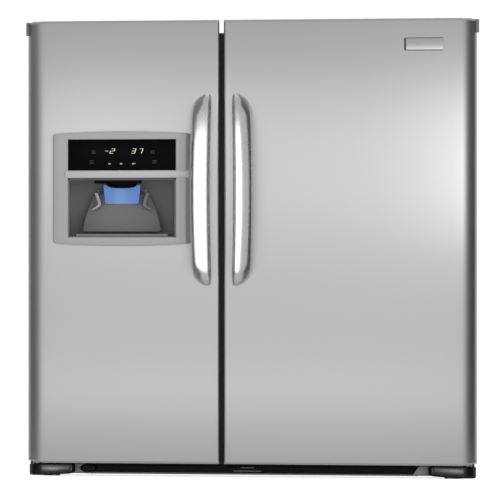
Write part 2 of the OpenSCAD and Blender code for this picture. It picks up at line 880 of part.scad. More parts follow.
// A bowed bar on two posts, with its middle at x
module door_handle(x, xh, xi) {
    mid = (handle_z0 + handle_z1) / 2;
    half = (handle_z1 - handle_z0) / 2;
    r = (half * half + handle_bow * handle_bow) / (2 * handle_bow);
    turn = asin(half / r);
    difference() {
        union() {
            translate([x, front_y + r, mid]) rotate([0, 90, 0]) rotate([0, 0, 270 - turn])
                rotate_extrude(angle = 2 * turn, $fn = 720)
                    polygon(rounded(r - handle_t, -handle_w / 2, r, handle_w / 2, 6));
            for (z = [handle_z0 + 6, handle_z1 - 40])
                zbar([x - handle_w / 2 + 3, front_y + handle_bow + 4, z],
                    [x + handle_w / 2 - 3, door_y0 + 12, z + 34], 5);
        }
        translate([0, 0, handle_z0 - 50]) linear_extrude(handle_z1 - handle_z0 + 100)
            polygon(door_plan(xh, xi));
    }
}

module freezer_handle() {
    color("silver") door_handle(gap_x - handle_off, -door_x, lip_l);
}

module fridge_handle() {
    color("silver") door_handle(gap_x + handle_off, door_x, lip_r);
}

// A door bin: a tub hung on the dike, with a low rail at its front
module door_bin(x0, x1, y1, z0, h) {
    color("lightblue") tub([x0, door_y1 + 4, z0], [x1, y1, z0 + h], 3, 12);
}

module freezer_bin_lower() {
    door_bin(-door_x + 84, lip_l - 86, -205, 220, 110);
}

module freezer_bin_upper() {
    door_bin(-door_x + 84, lip_l - 86, -205, 560, 110);
}

module gallon_bin() {
    door_bin(lip_r + 84, door_x - 84, -165, 300, 120);
}

module middle_bin() {
    door_bin(lip_r + 84, door_x - 84, -165, 720, 110);
}

module badge_plaque() {
    color("silver") difference() {
        ybar([307, door_y0 - 3.5, 1641], [386, door_y0 + 8, 1691], 5);
        translate([0, 0, 1600]) linear_extrude(120) polygon(door_plan(door_x, lip_r));
    }
}

// ---- Dispenser ----

// Plan outline of the dispenser frame: a shallow bow with round ends
function bezel_plan(x0, x1, reach) =
    let (w = x1 - x0, yf = door_y0 - reach)
    concat([[x0, door_y0 + 3], [x0, yf + 9]], arc(x0 + 6, yf + 9, 6, 6, 180, 262, 4),
        [for (i = [1:9]) [x0 + w * i / 10, yf + 3 - 3 * sin(180 * i / 10)]],
        arc(x1 - 6, yf + 9, 6, 6, 278, 360, 4), [[x1, door_y0 + 3]]);

// Front outline of the frame: its top and bottom edges rise in a low arch
function bezel_front(rise) = concat(
    [for (i = [0:10]) [disp_x0 + (disp_x1 - disp_x0) * i / 10,
        disp_z0 + rise * sin(180 * i / 10)]],
    [for (i = [10:-1:0]) [disp_x0 + (disp_x1 - disp_x0) * i / 10,
        disp_z1 - rise + rise * sin(180 * i / 10)]]);

module dispenser_bezel() {
    color("silver") difference() {
        intersection() {
            translate([0, 0, disp_z0 - 5]) linear_extrude(disp_z1 - disp_z0 + 10)
                polygon(bezel_plan(disp_x0, disp_x1, disp_reach));
            translate([0, door_y0 + 20, 0]) rotate([90, 0, 0]) linear_extrude(60)
                polygon(bezel_front(7));
        }
        block([cav_x0 - 0.5, front_y, cav_z0 - 0.5], [cav_x1 + 0.5, -300, cav_z1 + 0.5]);
        translate([0, 0, disp_z0 - 10]) linear_extrude(disp_z1 - disp_z0 + 20)
            polygon(door_plan(-door_x, lip_l));
    }
}

module dispenser_rail() {
    color("silver") translate([0, 0, rail_z0]) linear_extrude(rail_z1 - rail_z0)
        polygon(concat([[cav_x0, -350], [cav_x0, -374]],
            [for (i = [1:7]) [cav_x0 + (cav_x1 - cav_x0) * i / 8, -374 - 3 * sin(180 * i / 8)]],
            [[cav_x1, -374], [cav_x1, -350]]));
}

module dispenser_cavity() {
    // Recess box with two ears that the paddle hangs from
    y0 = -362;
    color("dimgray") difference() {
        union() {
            difference() {
                block([cav_x0, y0, cav_z0], [cav_x1, cav_y1, rail_z0]);
                ybar([cav_x0 + 2.5, y0 - 1, cav_z0 + 2.5],
                    [cav_x1 - 2.5, cav_y1 - 2.5, rail_z0 - 2.5], 6);
            }
            for (x = [-paddle_w, paddle_w])
                block([chute_x + x - 3, paddle_y - 7, paddle_z - 8],
                    [chute_x + x + 3, paddle_y + 7, rail_z0 - 2]);
        }
        block([chute_x - 31.5, -302, rail_z0 - 5], [chute_x + 31.5, -254, rail_z0 + 5]);
        xcyl([chute_x - paddle_w - 4, paddle_y, paddle_z], 3 + run, 2 * paddle_w + 8);
    }
}

module display_panel() {
    color("black") block([cav_x0, -370, rail_z1], [cav_x1, -364, cav_z1]);
}

module ice_chute() {
    // Duct from the ice bin down to the recess, with a dark mouth
    outer = [[-300, 1119], [-256, 1119], [-256, 1280], [bulge_y - 6, 1328],
        [bulge_y - 6, bulge_z1], [-300, bulge_z1]];
    inner = [[-297.5, 1118], [-258.5, 1118], [-258.5, 1281], [bulge_y - 8.5, 1329],
        [bulge_y - 8.5, bulge_z1 + 1], [-297.5, bulge_z1 + 1]];
    color("black") difference() {
        side_shape(chute_x - 30.5, chute_x + 30.5, outer);
        side_shape(chute_x - 28, chute_x + 28, inner);
        xcyl([chute_x - 31, -262, 1210], 2 + run, 62);
    }
}

module chute_flap() {
    color("black") union() {
        block([chute_x - 27, -293, 1209], [chute_x + 27, -264, 1211]);
        xcyl([chute_x - 30.5, -262, 1210], 2, 61);
        block([chute_x - 27, -264.5, 1208.5], [chute_x + 27, -262, 1211.5]);
    }
}

module paddle() {
    // Bell-shaped plate that a glass pushes back, hung on two pins and leaning forward
    color("gray") translate([chute_x, paddle_y, paddle_z]) union() {
        rotate([-paddle_lean, 0, 0]) translate([0, 1.5, 0]) rotate([90, 0, 0]) linear_extrude(3)
            polygon([[-44, 3], [44, 3], [46, -20], [56, -60], [76, -128], [80, -160],
                [-80, -160], [-76, -128], [-56, -60], [-46, -20]]);
        xcyl([-paddle_w - 2.5, 0, 0], 3, 2 * paddle_w + 5);
    }
}

module drip_tray() {
    // Lift-out tray with a slotted grate
    x0 = cav_x0 + 10;
    x1 = cav_x1 - 10;
    z0 = cav_z0 + 2.7;
    color("gray") difference() {
        zbar([x0, -356, z0], [x1, -262, z0 + 10], 8);
        for (i = [0:11]) block([x0 + 14 + i * 16, -344, z0 + 3], [x0 + 22 + i * 16, -274, z0 + 11]);
    }
}

cabinet_shell();
cabinet_back();
freezer_liner();
fridge_liner();
base_frame();
toe_grille();
foot_pods();
bottom_hinges();
top_hinges();
hinge_covers();
compressor();
condenser();
condenser_fan();
drain_pan();
machine_cover();
evaporator();
evaporator_cover();
evaporator_fan();
control_housing();
inlet_valve();
glass_shelves();
freezer_shelves();
ice_maker();
feeler_arm();
ice_bin();
auger();
water_filter();
crisper_upper();
crisper_lower();
humidity_slider();
deli_drawer();
freezer_basket();
levelling_leg_left();
levelling_leg_right();
roller_left();
roller_right();
freezer_door_skin();
freezer_door_liner();
freezer_door_gasket();
freezer_door_caps();
freezer_handle();
freezer_bin_lower();
freezer_bin_upper();
dispenser_bezel();
dispenser_rail();
dispenser_cavity();
display_panel();
paddle();
ice_chute();
chute_flap();
drip_tray();
fridge_door_skin();
fridge_door_liner();
fridge_door_gasket();
fridge_door_caps();
fridge_handle();
badge_plaque();
gallon_bin();
middle_bin();
dairy_lid();
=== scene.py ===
"""Looks of a side by side refrigerator, built round its packed working parts."""

import json
import math

import bmesh
import bpy
from mathutils import Matrix, Vector


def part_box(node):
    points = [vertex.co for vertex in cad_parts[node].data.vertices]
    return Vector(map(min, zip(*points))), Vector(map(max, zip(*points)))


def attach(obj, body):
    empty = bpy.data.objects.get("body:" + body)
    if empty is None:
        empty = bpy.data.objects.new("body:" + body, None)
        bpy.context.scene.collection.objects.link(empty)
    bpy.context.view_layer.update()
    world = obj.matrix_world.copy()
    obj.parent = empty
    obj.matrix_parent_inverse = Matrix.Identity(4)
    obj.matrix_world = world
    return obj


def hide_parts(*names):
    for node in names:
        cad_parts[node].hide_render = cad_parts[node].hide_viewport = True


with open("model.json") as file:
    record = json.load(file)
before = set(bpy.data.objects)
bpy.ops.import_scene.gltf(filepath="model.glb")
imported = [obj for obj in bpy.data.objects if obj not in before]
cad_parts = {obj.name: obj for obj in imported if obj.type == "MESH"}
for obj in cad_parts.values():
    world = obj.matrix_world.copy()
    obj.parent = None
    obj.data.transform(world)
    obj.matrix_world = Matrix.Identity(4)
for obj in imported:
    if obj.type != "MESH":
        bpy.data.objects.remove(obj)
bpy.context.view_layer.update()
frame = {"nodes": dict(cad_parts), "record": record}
SLOT_OF = {part["node"]: part["material_slot"] for part in frame["record"]["subparts"]}


# ---------------------------------------------------------------- camera

HALF_ANGLE = math.radians(0.62)
SENSOR_WIDTH = 36
# What the front view takes in across and up, and the point at its middle, in metres
VIEW_WIDTH = 1.009
VIEW_HEIGHT = 1.928
VIEW_X = -0.0016
VIEW_Z = 0.8766
DOOR_PLANE = -0.36


def make_camera():
    """A far camera with the squeeze in height that the front view asks for."""
    data = bpy.data.cameras.new("camera")
    data.sensor_width = SENSOR_WIDTH
    data.lens = SENSOR_WIDTH / 2 / math.tan(HALF_ANGLE)
    data.clip_start = 1
    data.clip_end = 500
    squeeze = VIEW_WIDTH / VIEW_HEIGHT
    away = VIEW_WIDTH / 2 / squeeze / math.tan(HALF_ANGLE)
    place = Matrix(
        (
            (squeeze, 0, 0, VIEW_X),
            (math.sqrt(1 - squeeze * squeeze), 0, -1, DOOR_PLANE - away),
            (0, 1, 0, VIEW_Z),
            (0, 0, 0, 1),
        )
    )
    camera = bpy.data.objects.new("camera", data)
    stand = bpy.data.objects.new("camera_stand", None)
    for o in (camera, stand):
        bpy.context.scene.collection.objects.link(o)
    camera.parent = stand
    camera.matrix_parent_inverse = place
    bpy.context.scene.camera = camera


make_camera()


# ---------------------------------------------------------------- finishes


def node_group(name, inputs, outputs):
    """An empty node group with its sockets made."""
    group = bpy.data.node_groups.new(name, "ShaderNodeTree")
    for label, kind, value in inputs:
        group.interface.new_socket(label, in_out="INPUT", socket_type=kind).default_value = value
    for label, kind in outputs:
        group.interface.new_socket(label, in_out="OUTPUT", socket_type=kind)
    entry = group.nodes.new("NodeGroupInput")
    leave = group.nodes.new("NodeGroupOutput")
    return group, entry.outputs, leave.inputs


def sums(tree, kind, a, b, c=None):
    """A Math node over sockets or numbers."""
    n = tree.nodes.new("ShaderNodeMath")
    n.operation = kind
    for slot, value in zip(n.inputs, (a, b, c)):
        if value is None:
            continue
        if isinstance(value, (int, float)):
            slot.default_value = value
        else:
            tree.links.new(value, slot)
    return n.outputs[0]


def make_surface_group():
    """Fine grain over broad smudges: tone, roughness and height."""
    tree, given, made = node_group(
        "surface grain",
        [
            ("Colour", "NodeSocketColor", (0.5, 0.5, 0.5, 1)),
            ("Tone change", "NodeSocketFloat", 0.05),
            ("Roughness", "NodeSocketFloat", 0.4),
            ("Roughness change", "NodeSocketFloat", 0.05),
            ("Grain", "NodeSocketVector", (800, 800, 800)),
            ("Smudge size", "NodeSocketFloat", 6.0),
        ],
        [
            ("Colour", "NodeSocketColor"),
            ("Roughness", "NodeSocketFloat"),
            ("Height", "NodeSocketFloat"),
        ],
    )
    place = tree.nodes.new("ShaderNodeTexCoord").outputs["Object"]
    stretched = tree.nodes.new("ShaderNodeVectorMath")
    stretched.operation = "MULTIPLY"
    tree.links.new(place, stretched.inputs[0])
    tree.links.new(given["Grain"], stretched.inputs[1])
    fine = tree.nodes.new("ShaderNodeTexNoise")
    fine.inputs["Scale"].default_value = 1.0
    fine.inputs["Detail"].default_value = 3.0
    tree.links.new(stretched.outputs[0], fine.inputs["Vector"])
    broad = tree.nodes.new("ShaderNodeTexNoise")
    broad.inputs["Detail"].default_value = 3.0
    tree.links.new(place, broad.inputs["Vector"])
    tree.links.new(given["Smudge size"], broad.inputs["Scale"])
    both = sums(tree, "ADD", fine.outputs[0], broad.outputs[0])
    swing = sums(tree, "SUBTRACT", both, 1.0)
    tone = sums(tree, "MULTIPLY_ADD", swing, given["Tone change"], 1.0)
    tint = tree.nodes.new("ShaderNodeVectorMath")
    tint.operation = "SCALE"
    tree.links.new(given["Colour"], tint.inputs[0])
    tree.links.new(tone, tint.inputs["Scale"])
    tree.links.new(tint.outputs[0], made["Colour"])
    tree.links.new(
        sums(tree, "MULTIPLY_ADD", swing, given["Roughness change"], given["Roughness"]),
        made["Roughness"],
    )
    tree.links.new(fine.outputs[0], made["Height"])
    return tree


SURFACE = make_surface_group()
COAT_ROUGHNESS = 0.08


def finish(
    name,
    colour,
    rough,
    tone=0.05,
    rough_change=0.06,
    grain=(900, 900, 900),
    smudge=5.0,
    bump=0.08,
    depth=0.0002,
    metallic=0.0,
    coat=0.0,
    clear=0.0,
    ior=1.5,
    specular=0.5,
    glow=None,
):
    """A finish on the shared grain, with its own values."""
    material = bpy.data.materials.new(name)
    material.use_nodes = True
    tree = material.node_tree
    shader = tree.nodes["Principled BSDF"]
    grained = tree.nodes.new("ShaderNodeGroup")
    grained.node_tree = SURFACE
    grained.inputs["Colour"].default_value = (*colour, 1)
    grained.inputs["Tone change"].default_value = tone
    grained.inputs["Roughness"].default_value = rough
    grained.inputs["Roughness change"].default_value = rough_change
    grained.inputs["Grain"].default_value = grain
    grained.inputs["Smudge size"].default_value = smudge
    tree.links.new(grained.outputs["Colour"], shader.inputs["Base Color"])
    tree.links.new(grained.outputs["Roughness"], shader.inputs["Roughness"])
    if bump:
        relief = tree.nodes.new("ShaderNodeBump")
        relief.inputs["Strength"].default_value = bump
        relief.inputs["Distance"].default_value = depth
        tree.links.new(grained.outputs["Height"], relief.inputs["Height"])
        tree.links.new(relief.outputs[0], shader.inputs["Normal"])
    shader.inputs["Metallic"].default_value = metallic
    shader.inputs["Coat Weight"].default_value = coat
    shader.inputs["Coat Roughness"].default_value = COAT_ROUGHNESS
    shader.inputs["Transmission Weight"].default_value = clear
    shader.inputs["IOR"].default_value = ior
    shader.inputs["Specular IOR Level"].default_value = specular
    if glow:
        tree.links.new(grained.outputs["Colour"], shader.inputs["Emission Color"])
        shader.inputs["Emission Strength"].default_value = glow
    material.diffuse_color = (*colour, 1)
    return material


# Grain of metal brushed up and down
BRUSHED = (1400, 1400, 9)
FINISHES = {
    "door_steel": finish(
        "brushed door steel", (0.60, 0.60, 0.605), 0.36, tone=0.04, rough_change=0.05,
        grain=BRUSHED, smudge=1.6, bump=0.05, depth=0.00008, metallic=1.0,
    ),
    "handle_metal": finish(
        "satin handle metal", (0.74, 0.74, 0.745), 0.27, tone=0.03, grain=BRUSHED,
        smudge=4.0, bump=0.04, depth=0.00008, metallic=1.0,
    ),
    "cap_plastic": finish("door cap plastic", (0.42, 0.42, 0.425), 0.40),
    "dispenser_plastic": finish(
        "dispenser frame paint", (0.45, 0.45, 0.457), 0.36, tone=0.03, metallic=0.25,
        smudge=12.0, coat=0.15,
    ),
    "recess_plastic": finish("recess plastic", (0.25, 0.25, 0.253), 0.45, tone=0.08, smudge=14.0),
    "paddle_plastic": finish("paddle plastic", (0.25, 0.25, 0.252), 0.40, tone=0.06, smudge=20.0),
    "black_plastic": finish(
        "black trim plastic", (0.006, 0.006, 0.0065), 0.30, tone=0.10, smudge=25.0,
        bump=0.12, specular=0.2,
    ),
    "display_glass": finish(
        "display window", (0.003, 0.003, 0.004), 0.16, tone=0.10, rough_change=0.03,
        smudge=9.0, bump=0.0, specular=0.03,
    ),
    "plaque_metal": finish(
        "plaque metal", (0.62, 0.62, 0.63), 0.28, grain=(30, 1400, 1400), metallic=1.0
    ),
    "cabinet_paint": finish(
        "cabinet paint", (0.26, 0.26, 0.265), 0.46, tone=0.05, grain=(420, 420, 420),
        smudge=2.0, bump=0.30, depth=0.0004,
    ),
    "galvanised_steel": finish(
        "zinc coated sheet", (0.46, 0.47, 0.48), 0.42, tone=0.16, rough_change=0.12,
        grain=(60, 60, 60), smudge=9.0, metallic=0.85,
    ),
    "chassis_steel": finish("chassis paint", (0.045, 0.045, 0.047), 0.40, tone=0.10),
    "hinge_steel": finish(
        "hinge plating", (0.50, 0.49, 0.46), 0.34, tone=0.08, grain=(700, 60, 700), metallic=1.0
    ),
    "liner_plastic": finish(
        "liner plastic", (0.78, 0.79, 0.79), 0.24, tone=0.015, smudge=3.0, bump=0.05, coat=0.2
    ),
    "seal_rubber": finish("seal rubber", (0.09, 0.09, 0.092), 0.62, tone=0.08, smudge=18.0),
    "clear_plastic": finish(
        "clear drawer plastic", (0.90, 0.94, 0.95), 0.06, tone=0.02, rough_change=0.03,
        smudge=7.0, bump=0.03, clear=1.0, ior=1.45,
    ),
    "shelf_glass": finish(
        "shelf glass", (0.82, 0.92, 0.89), 0.03, tone=0.02, rough_change=0.02, smudge=4.0,
        bump=0.0, clear=1.0, ior=1.5,
    ),
    "white_plastic": finish("white fitting plastic", (0.74, 0.74, 0.73), 0.36, tone=0.03),
    "wire_white": finish("coated wire", (0.78, 0.78, 0.77), 0.30, tone=0.03, coat=0.3),
    "compressor_paint": finish(
        "compressor paint", (0.015, 0.015, 0.016), 0.28, tone=0.15, smudge=12.0, coat=0.4
    ),
    "fin_aluminium": finish(
        "fin metal", (0.70, 0.71, 0.72), 0.33, tone=0.10, grain=(300, 300, 30), metallic=1.0
    ),
    "roller_nylon": finish("roller nylon", (0.05, 0.05, 0.05), 0.5, tone=0.12),
    "leg_steel": finish("zinc plated steel", (0.52, 0.52, 0.53), 0.30, tone=0.08, metallic=1.0),
}
GLOW_DIGITS = finish("lit digits", (0.50, 0.62, 0.34), 0.4, tone=0.25, smudge=160.0, glow=0.9)
# Printed symbols given a faint painted glow.
GLOW_ICONS = finish("printed symbols with painted glow", (0.42, 0.42, 0.42), 0.4, tone=0.2, smudge=160.0, glow=0.25)
DIM_MARKS = finish("dim marks", (0.05, 0.05, 0.055), 0.4, tone=0.2, smudge=160.0)
FOOT_GLOSS = finish(
    "polished foot cover", (0.004, 0.004, 0.0045), 0.27, tone=0.10, smudge=30.0, specular=0.32
)
EAR_PLASTIC = finish("hinge side cap", (0.19, 0.19, 0.193), 0.42, tone=0.06)
PLAQUE_BED = finish("plaque bed", (0.14, 0.14, 0.145), 0.4, tone=0.1, metallic=0.5)
BLUE_LENS = finish(
    "lit blue lens", (0.16, 0.28, 0.54), 0.35, tone=0.10, smudge=30.0, glow=0.50
)
RAIL_PAINT = finish(
    "dispenser rail paint", (0.58, 0.58, 0.587), 0.30, tone=0.03, metallic=0.25, smudge=12.0
)
DOME_BLACK = finish(
    "chute black", (0.0025, 0.0025, 0.003), 0.45, tone=0.1, smudge=20.0, specular=0.05
)

for node, piece in frame["nodes"].items():
    piece.data.materials.clear()
    piece.data.materials.append(FINISHES[SLOT_OF[node]])


# ---------------------------------------------------------------- tools


def join(bm, part):
    """Moves one loose build into another."""
    held = bpy.data.meshes.new("held")
    part.to_mesh(held)
    part.free()
    bm.from_mesh(held)
    bpy.data.meshes.remove(held)


def bevel_edges(bm, edges, width, steps=3):
    """Rounds the given edges."""
    bmesh.ops.bevel(
        bm, geom=list(edges), offset=width, offset_type="OFFSET", segments=steps,
        profile=0.5, affect="EDGES", clamp_overlap=True, material=-1,
    )


def round_corner(bm, vert, radius, steps=6):
    """Rounds one corner of a flat outline."""
    bmesh.ops.bevel(
        bm, geom=[vert], offset=radius, offset_type="OFFSET", segments=steps,
        profile=0.5, affect="VERTICES", clamp_overlap=True, material=-1,
    )


def sharp_edges(bm, angle=0.9):
    """Edges between two faces that meet at more than an angle in radians."""
    return [e for e in bm.edges if len(e.link_faces) == 2 and e.calc_face_angle(0) > angle]


def raise_faces(bm, along):
    """Draws an outline out along a line and returns the corners that moved."""
    made = bmesh.ops.extrude_face_region(bm, geom=bm.faces[:])["geom"]
    lifted = [g for g in made if isinstance(g, bmesh.types.BMVert)]
    bmesh.ops.translate(bm, vec=along, verts=lifted)
    return lifted


def slab(bm, low, high, soft=0.0, steps=3):
    """A bar between two corners with softened edges."""
    part = bmesh.new()
    low, high = Vector(low), Vector(high)
    verts = bmesh.ops.create_cube(part, size=1.0)["verts"]
    bmesh.ops.scale(part, vec=high - low, verts=verts)
    bmesh.ops.translate(part, vec=(low + high) / 2, verts=verts)
    if soft:
        bevel_edges(part, part.edges[:], soft, steps)
    join(bm, part)


def prism(bm, corners, along, rounds=(), steps=6, soft=0.0, shape=None):
    """A flat outline with round corners, drawn out along a line, with softened rims."""
    part = bmesh.new()
    verts = [part.verts.new(c) for c in corners]
    part.faces.new(verts)
    for vert, radius in zip(verts, rounds):
        if radius:
            round_corner(part, vert, radius, steps)
    raise_faces(part, along)
    bmesh.ops.recalc_face_normals(part, faces=part.faces[:])
    if soft:
        bevel_edges(part, sharp_edges(part), soft)
    if shape:
        for v in part.verts:
            v.co = shape(v.co)
    join(bm, part)


def turned(bm, profile, centre, axis, steps=40):
    """A profile of (radius, height) points turned round an axis through centre."""
    part = bmesh.new()
    verts = [part.verts.new((r, 0, h)) for r, h in profile]
    edges = [part.edges.new(pair) for pair in zip(verts, verts[1:])]
    bmesh.ops.spin(
        part, geom=verts + edges, cent=(0, 0, 0), axis=(0, 0, 1), angle=math.tau,
        steps=steps, use_merge=True, use_duplicate=False,
    )
    bmesh.ops.remove_doubles(part, verts=part.verts[:], dist=1e-6)
    bmesh.ops.recalc_face_normals(part, faces=part.faces[:])
    turn = Vector((0, 0, 1)).rotation_difference(Vector(axis)).to_matrix().to_4x4()
    bmesh.ops.transform(part, matrix=Matrix.Translation(centre) @ turn, verts=part.verts[:])
    join(bm, part)


def piece(name, bm, body, material, slot, stands_for=(), crease=35, outward=True):
    """Makes the finished mesh, smooths it and hangs it on its body."""
    if outward:
        bmesh.ops.recalc_face_normals(bm, faces=bm.faces[:])
    for f in bm.faces:
        f.smooth = True
    for e in bm.edges:
        e.smooth = e.is_manifold and e.calc_face_angle(0) < math.radians(crease)
    mesh = bpy.data.meshes.new(name)
    bm.to_mesh(mesh)
    bm.free()
    mesh.materials.append(material)
    made = bpy.data.objects.new(name, mesh)
    bpy.context.scene.collection.objects.link(made)
    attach(made, body)
    if stands_for:
        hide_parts(*stands_for)
    return made


def wall(made, thickness):
    """Gives a sheet its thickness, behind the faces it shows."""
    m = made.modifiers.new("wall", "SOLIDIFY")
    m.thickness = thickness
    m.offset = -1.0


def cut(bm, axis, place):
    """Adds an edge loop where a plane across an axis meets the faces."""
    normal = [0, 0, 0]
    normal[axis] = 1
    point = [0, 0, 0]
    point[axis] = place
    bmesh.ops.bisect_plane(
        bm, geom=bm.verts[:] + bm.edges[:] + bm.faces[:], plane_co=point, plane_no=normal
    )


def drop_faces(bm, test):
    """Deletes the faces whose middle and normal pass a test."""
    gone = [f for f in bm.faces if test(f.calc_center_median(), f.normal)]
    bmesh.ops.delete(bm, geom=gone, context="FACES")


# ---------------------------------------------------------------- doors

# Rounding of a door's hinge side and handle side, and the bow of its front
EDGE_WIDTH = 0.034
EDGE_DEPTH = 0.022
INNER_EDGE = 0.005
CROWN = 0.005
# How far the outer corners draw in, and over what length of the door
TOP_DROP = 0.006
FOOT_RISE = 0.010
BLEND_LENGTH = 0.10
SKIN_SHEET = 0.0012
CAP_GAP = 0.0003
CAP_RIM = 0.0022
EAR_FRONT = -0.344
EAR_FOOT = 1.7085
EAR_TOP = 1.7600
EAR_LAP = 0.002

skin_low, skin_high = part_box("freezer_door_skin")
right_low, right_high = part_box("fridge_door_skin")
caps_low, caps_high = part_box("freezer_door_caps")
DOOR_FRONT = skin_low.y
DOOR_REAR = skin_high.y
DOORS = {
    "freezer_door": (skin_low.x, skin_high.x),
    "fridge_door": (right_high.x, right_low.x),
}


def door_front_at(x, body="freezer_door"):
    """Depth of a door's crowned front at x."""
    hinge, inner = DOORS[body]
    middle = (hinge + inner) / 2
    return DOOR_FRONT + CROWN * ((x - middle) / (hinge - middle)) ** 2


def end_shape(body, low, high):
    """Draws in the outer corners at the door's two ends."""
    hinge = DOORS[body][0]

    def moved(co):
        near = max(0.0, 1 - abs(co.x - hinge) / EDGE_WIDTH) ** 1.5
        z = co.z
        z -= TOP_DROP * near * max(0.0, 1 - (high - co.z) / BLEND_LENGTH)
        z += FOOT_RISE * near * max(0.0, 1 - (co.z - low) / BLEND_LENGTH)
        return Vector((co.x, co.y, z))

    return moved


def door_prism(body, low, high, inset=0.0):
    """Crowned door outline between two heights."""
    hinge, inner = DOORS[body]
    side = 1 if inner > hinge else -1
    hinge += side * inset
    inner -= side * inset
    front = DOOR_FRONT + CROWN + inset
    stretch = EDGE_WIDTH / EDGE_DEPTH
    bm = bmesh.new()
    rear = front + (DOOR_REAR - front) * stretch
    corners = [(hinge, rear), (hinge, front), (inner, front), (inner, rear)]
    verts = [bm.verts.new((x, y, low)) for x, y in corners]
    bm.faces.new(verts)
    round_corner(bm, verts[1], EDGE_WIDTH - inset, 14)
    for v in bm.verts:
        v.co.y = front + (v.co.y - front) / stretch
    round_corner(bm, verts[2], INNER_EDGE, 6)
    face_edge = max(
        (e for e in bm.edges if all(abs(v.co.y - front) < 1e-6 for v in e.verts)),
        key=lambda e: e.calc_length(),
    )
    bmesh.ops.subdivide_edges(bm, edges=[face_edge], cuts=30)
    middle = (hinge + inner) / 2
    half = abs(hinge - middle)
    for v in bm.verts:
        v.co.y -= CROWN * (1 - ((v.co.x - middle) / half) ** 2)
    raise_faces(bm, (0, 0, high - low))
    return bm


def door_skin(name, body, node, hole=None):
    """Folded steel front of a door, with a hole where one is given."""
    low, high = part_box(node)
    bm = door_prism(body, low.z, high.z)
    cut(bm, 2, low.z + BLEND_LENGTH)
    cut(bm, 2, high.z - BLEND_LENGTH)
    bmesh.ops.recalc_face_normals(bm, faces=bm.faces[:])
    drop_faces(
        bm, lambda c, n: abs(n.z) > 0.9 or (n.y > 0.9 and abs(c.y - DOOR_REAR) < 1e-4)
    )
    if hole:
        x0, x1, z0, z1 = hole
        for axis, place in ((0, x0), (0, x1), (2, z0), (2, z1)):
            cut(bm, axis, place)
        drop_faces(
            bm, lambda c, n: x0 < c.x < x1 and z0 < c.z < z1 and c.y < DOOR_FRONT + 0.02
        )
    moved = end_shape(body, low.z, high.z)
    for v in bm.verts:
        v.co = moved(v.co)
    made = piece(name, bm, body, FINISHES["door_steel"], "door_steel", (node,), 40, False)
    wall(made, SKIN_SHEET)


cavity_low, cavity_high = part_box("dispenser_cavity")
display_low, display_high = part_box("display_panel")
# Left, right, bottom and top of the opening in the frame, and of the hole in the skin
WINDOW = (display_low.x, display_high.x, cavity_low.z, display_high.z)
HOLE = (WINDOW[0] - 0.006, WINDOW[1] + 0.006, WINDOW[2] - 0.008, WINDOW[3] + 0.008)
door_skin("freezer_door_front", "freezer_door", "freezer_door_skin", HOLE)
door_skin("fridge_door_front", "fridge_door", "fridge_door_skin")


def door_caps(name, body, node):
    """Moulded ends of a door, with the ear that wraps its hinge side."""
    low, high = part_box(node)
    bm = bmesh.new()
    foot = door_prism(body, low.z, skin_low.z - CAP_GAP)
    head = door_prism(body, skin_high.z + CAP_GAP, high.z)
    moved = end_shape(body, low.z, high.z)
    for part in (foot, head):
        bmesh.ops.recalc_face_normals(part, faces=part.faces[:])
        rim = [
            e for e in sharp_edges(part)
            if abs(e.verts[0].co.z - e.verts[1].co.z) < 1e-6
            and (abs(e.verts[0].co.z - low.z) < 1e-5 or abs(e.verts[0].co.z - high.z) < 1e-5)
        ]
        bevel_edges(part, rim, CAP_RIM, 3)
        for v in part.verts:
            v.co = moved(v.co)
        join(bm, part)
    piece(name, bm, body, FINISHES["cap_plastic"], "cap_plastic", (node,), 40)
    hinge = DOORS[body][0]
    outer = low.x if hinge < 0 else high.x
    x0, x1 = sorted((hinge - math.copysign(EAR_LAP, hinge), outer))
    ear = bmesh.new()
    slab(ear, (x0, EAR_FRONT, EAR_FOOT), (x1, DOOR_REAR - 0.001, EAR_TOP), 0.0018, 3)
    piece(name.replace("ends", "ear"), ear, body, EAR_PLASTIC, "cap_plastic", (), 40)


door_caps("freezer_door_ends", "freezer_door", "freezer_door_caps")
door_caps("fridge_door_ends", "fridge_door", "fridge_door_caps")


# ---------------------------------------------------------------- handles

HANDLE_RINGS = 56
HANDLE_BOW = 0.035
# Half the depth of the bar, and what its ends add
HANDLE_DEPTH = 0.0108
END_DEPTH = 0.0030
# Share of the length that each turned end takes, and how far it turns in
END_SHARE = 0.085
END_TURN = 0.026
# Slant of the two ends on the handle's outer side
TOP_SLANT = 0.036
FOOT_SLANT = 0.030


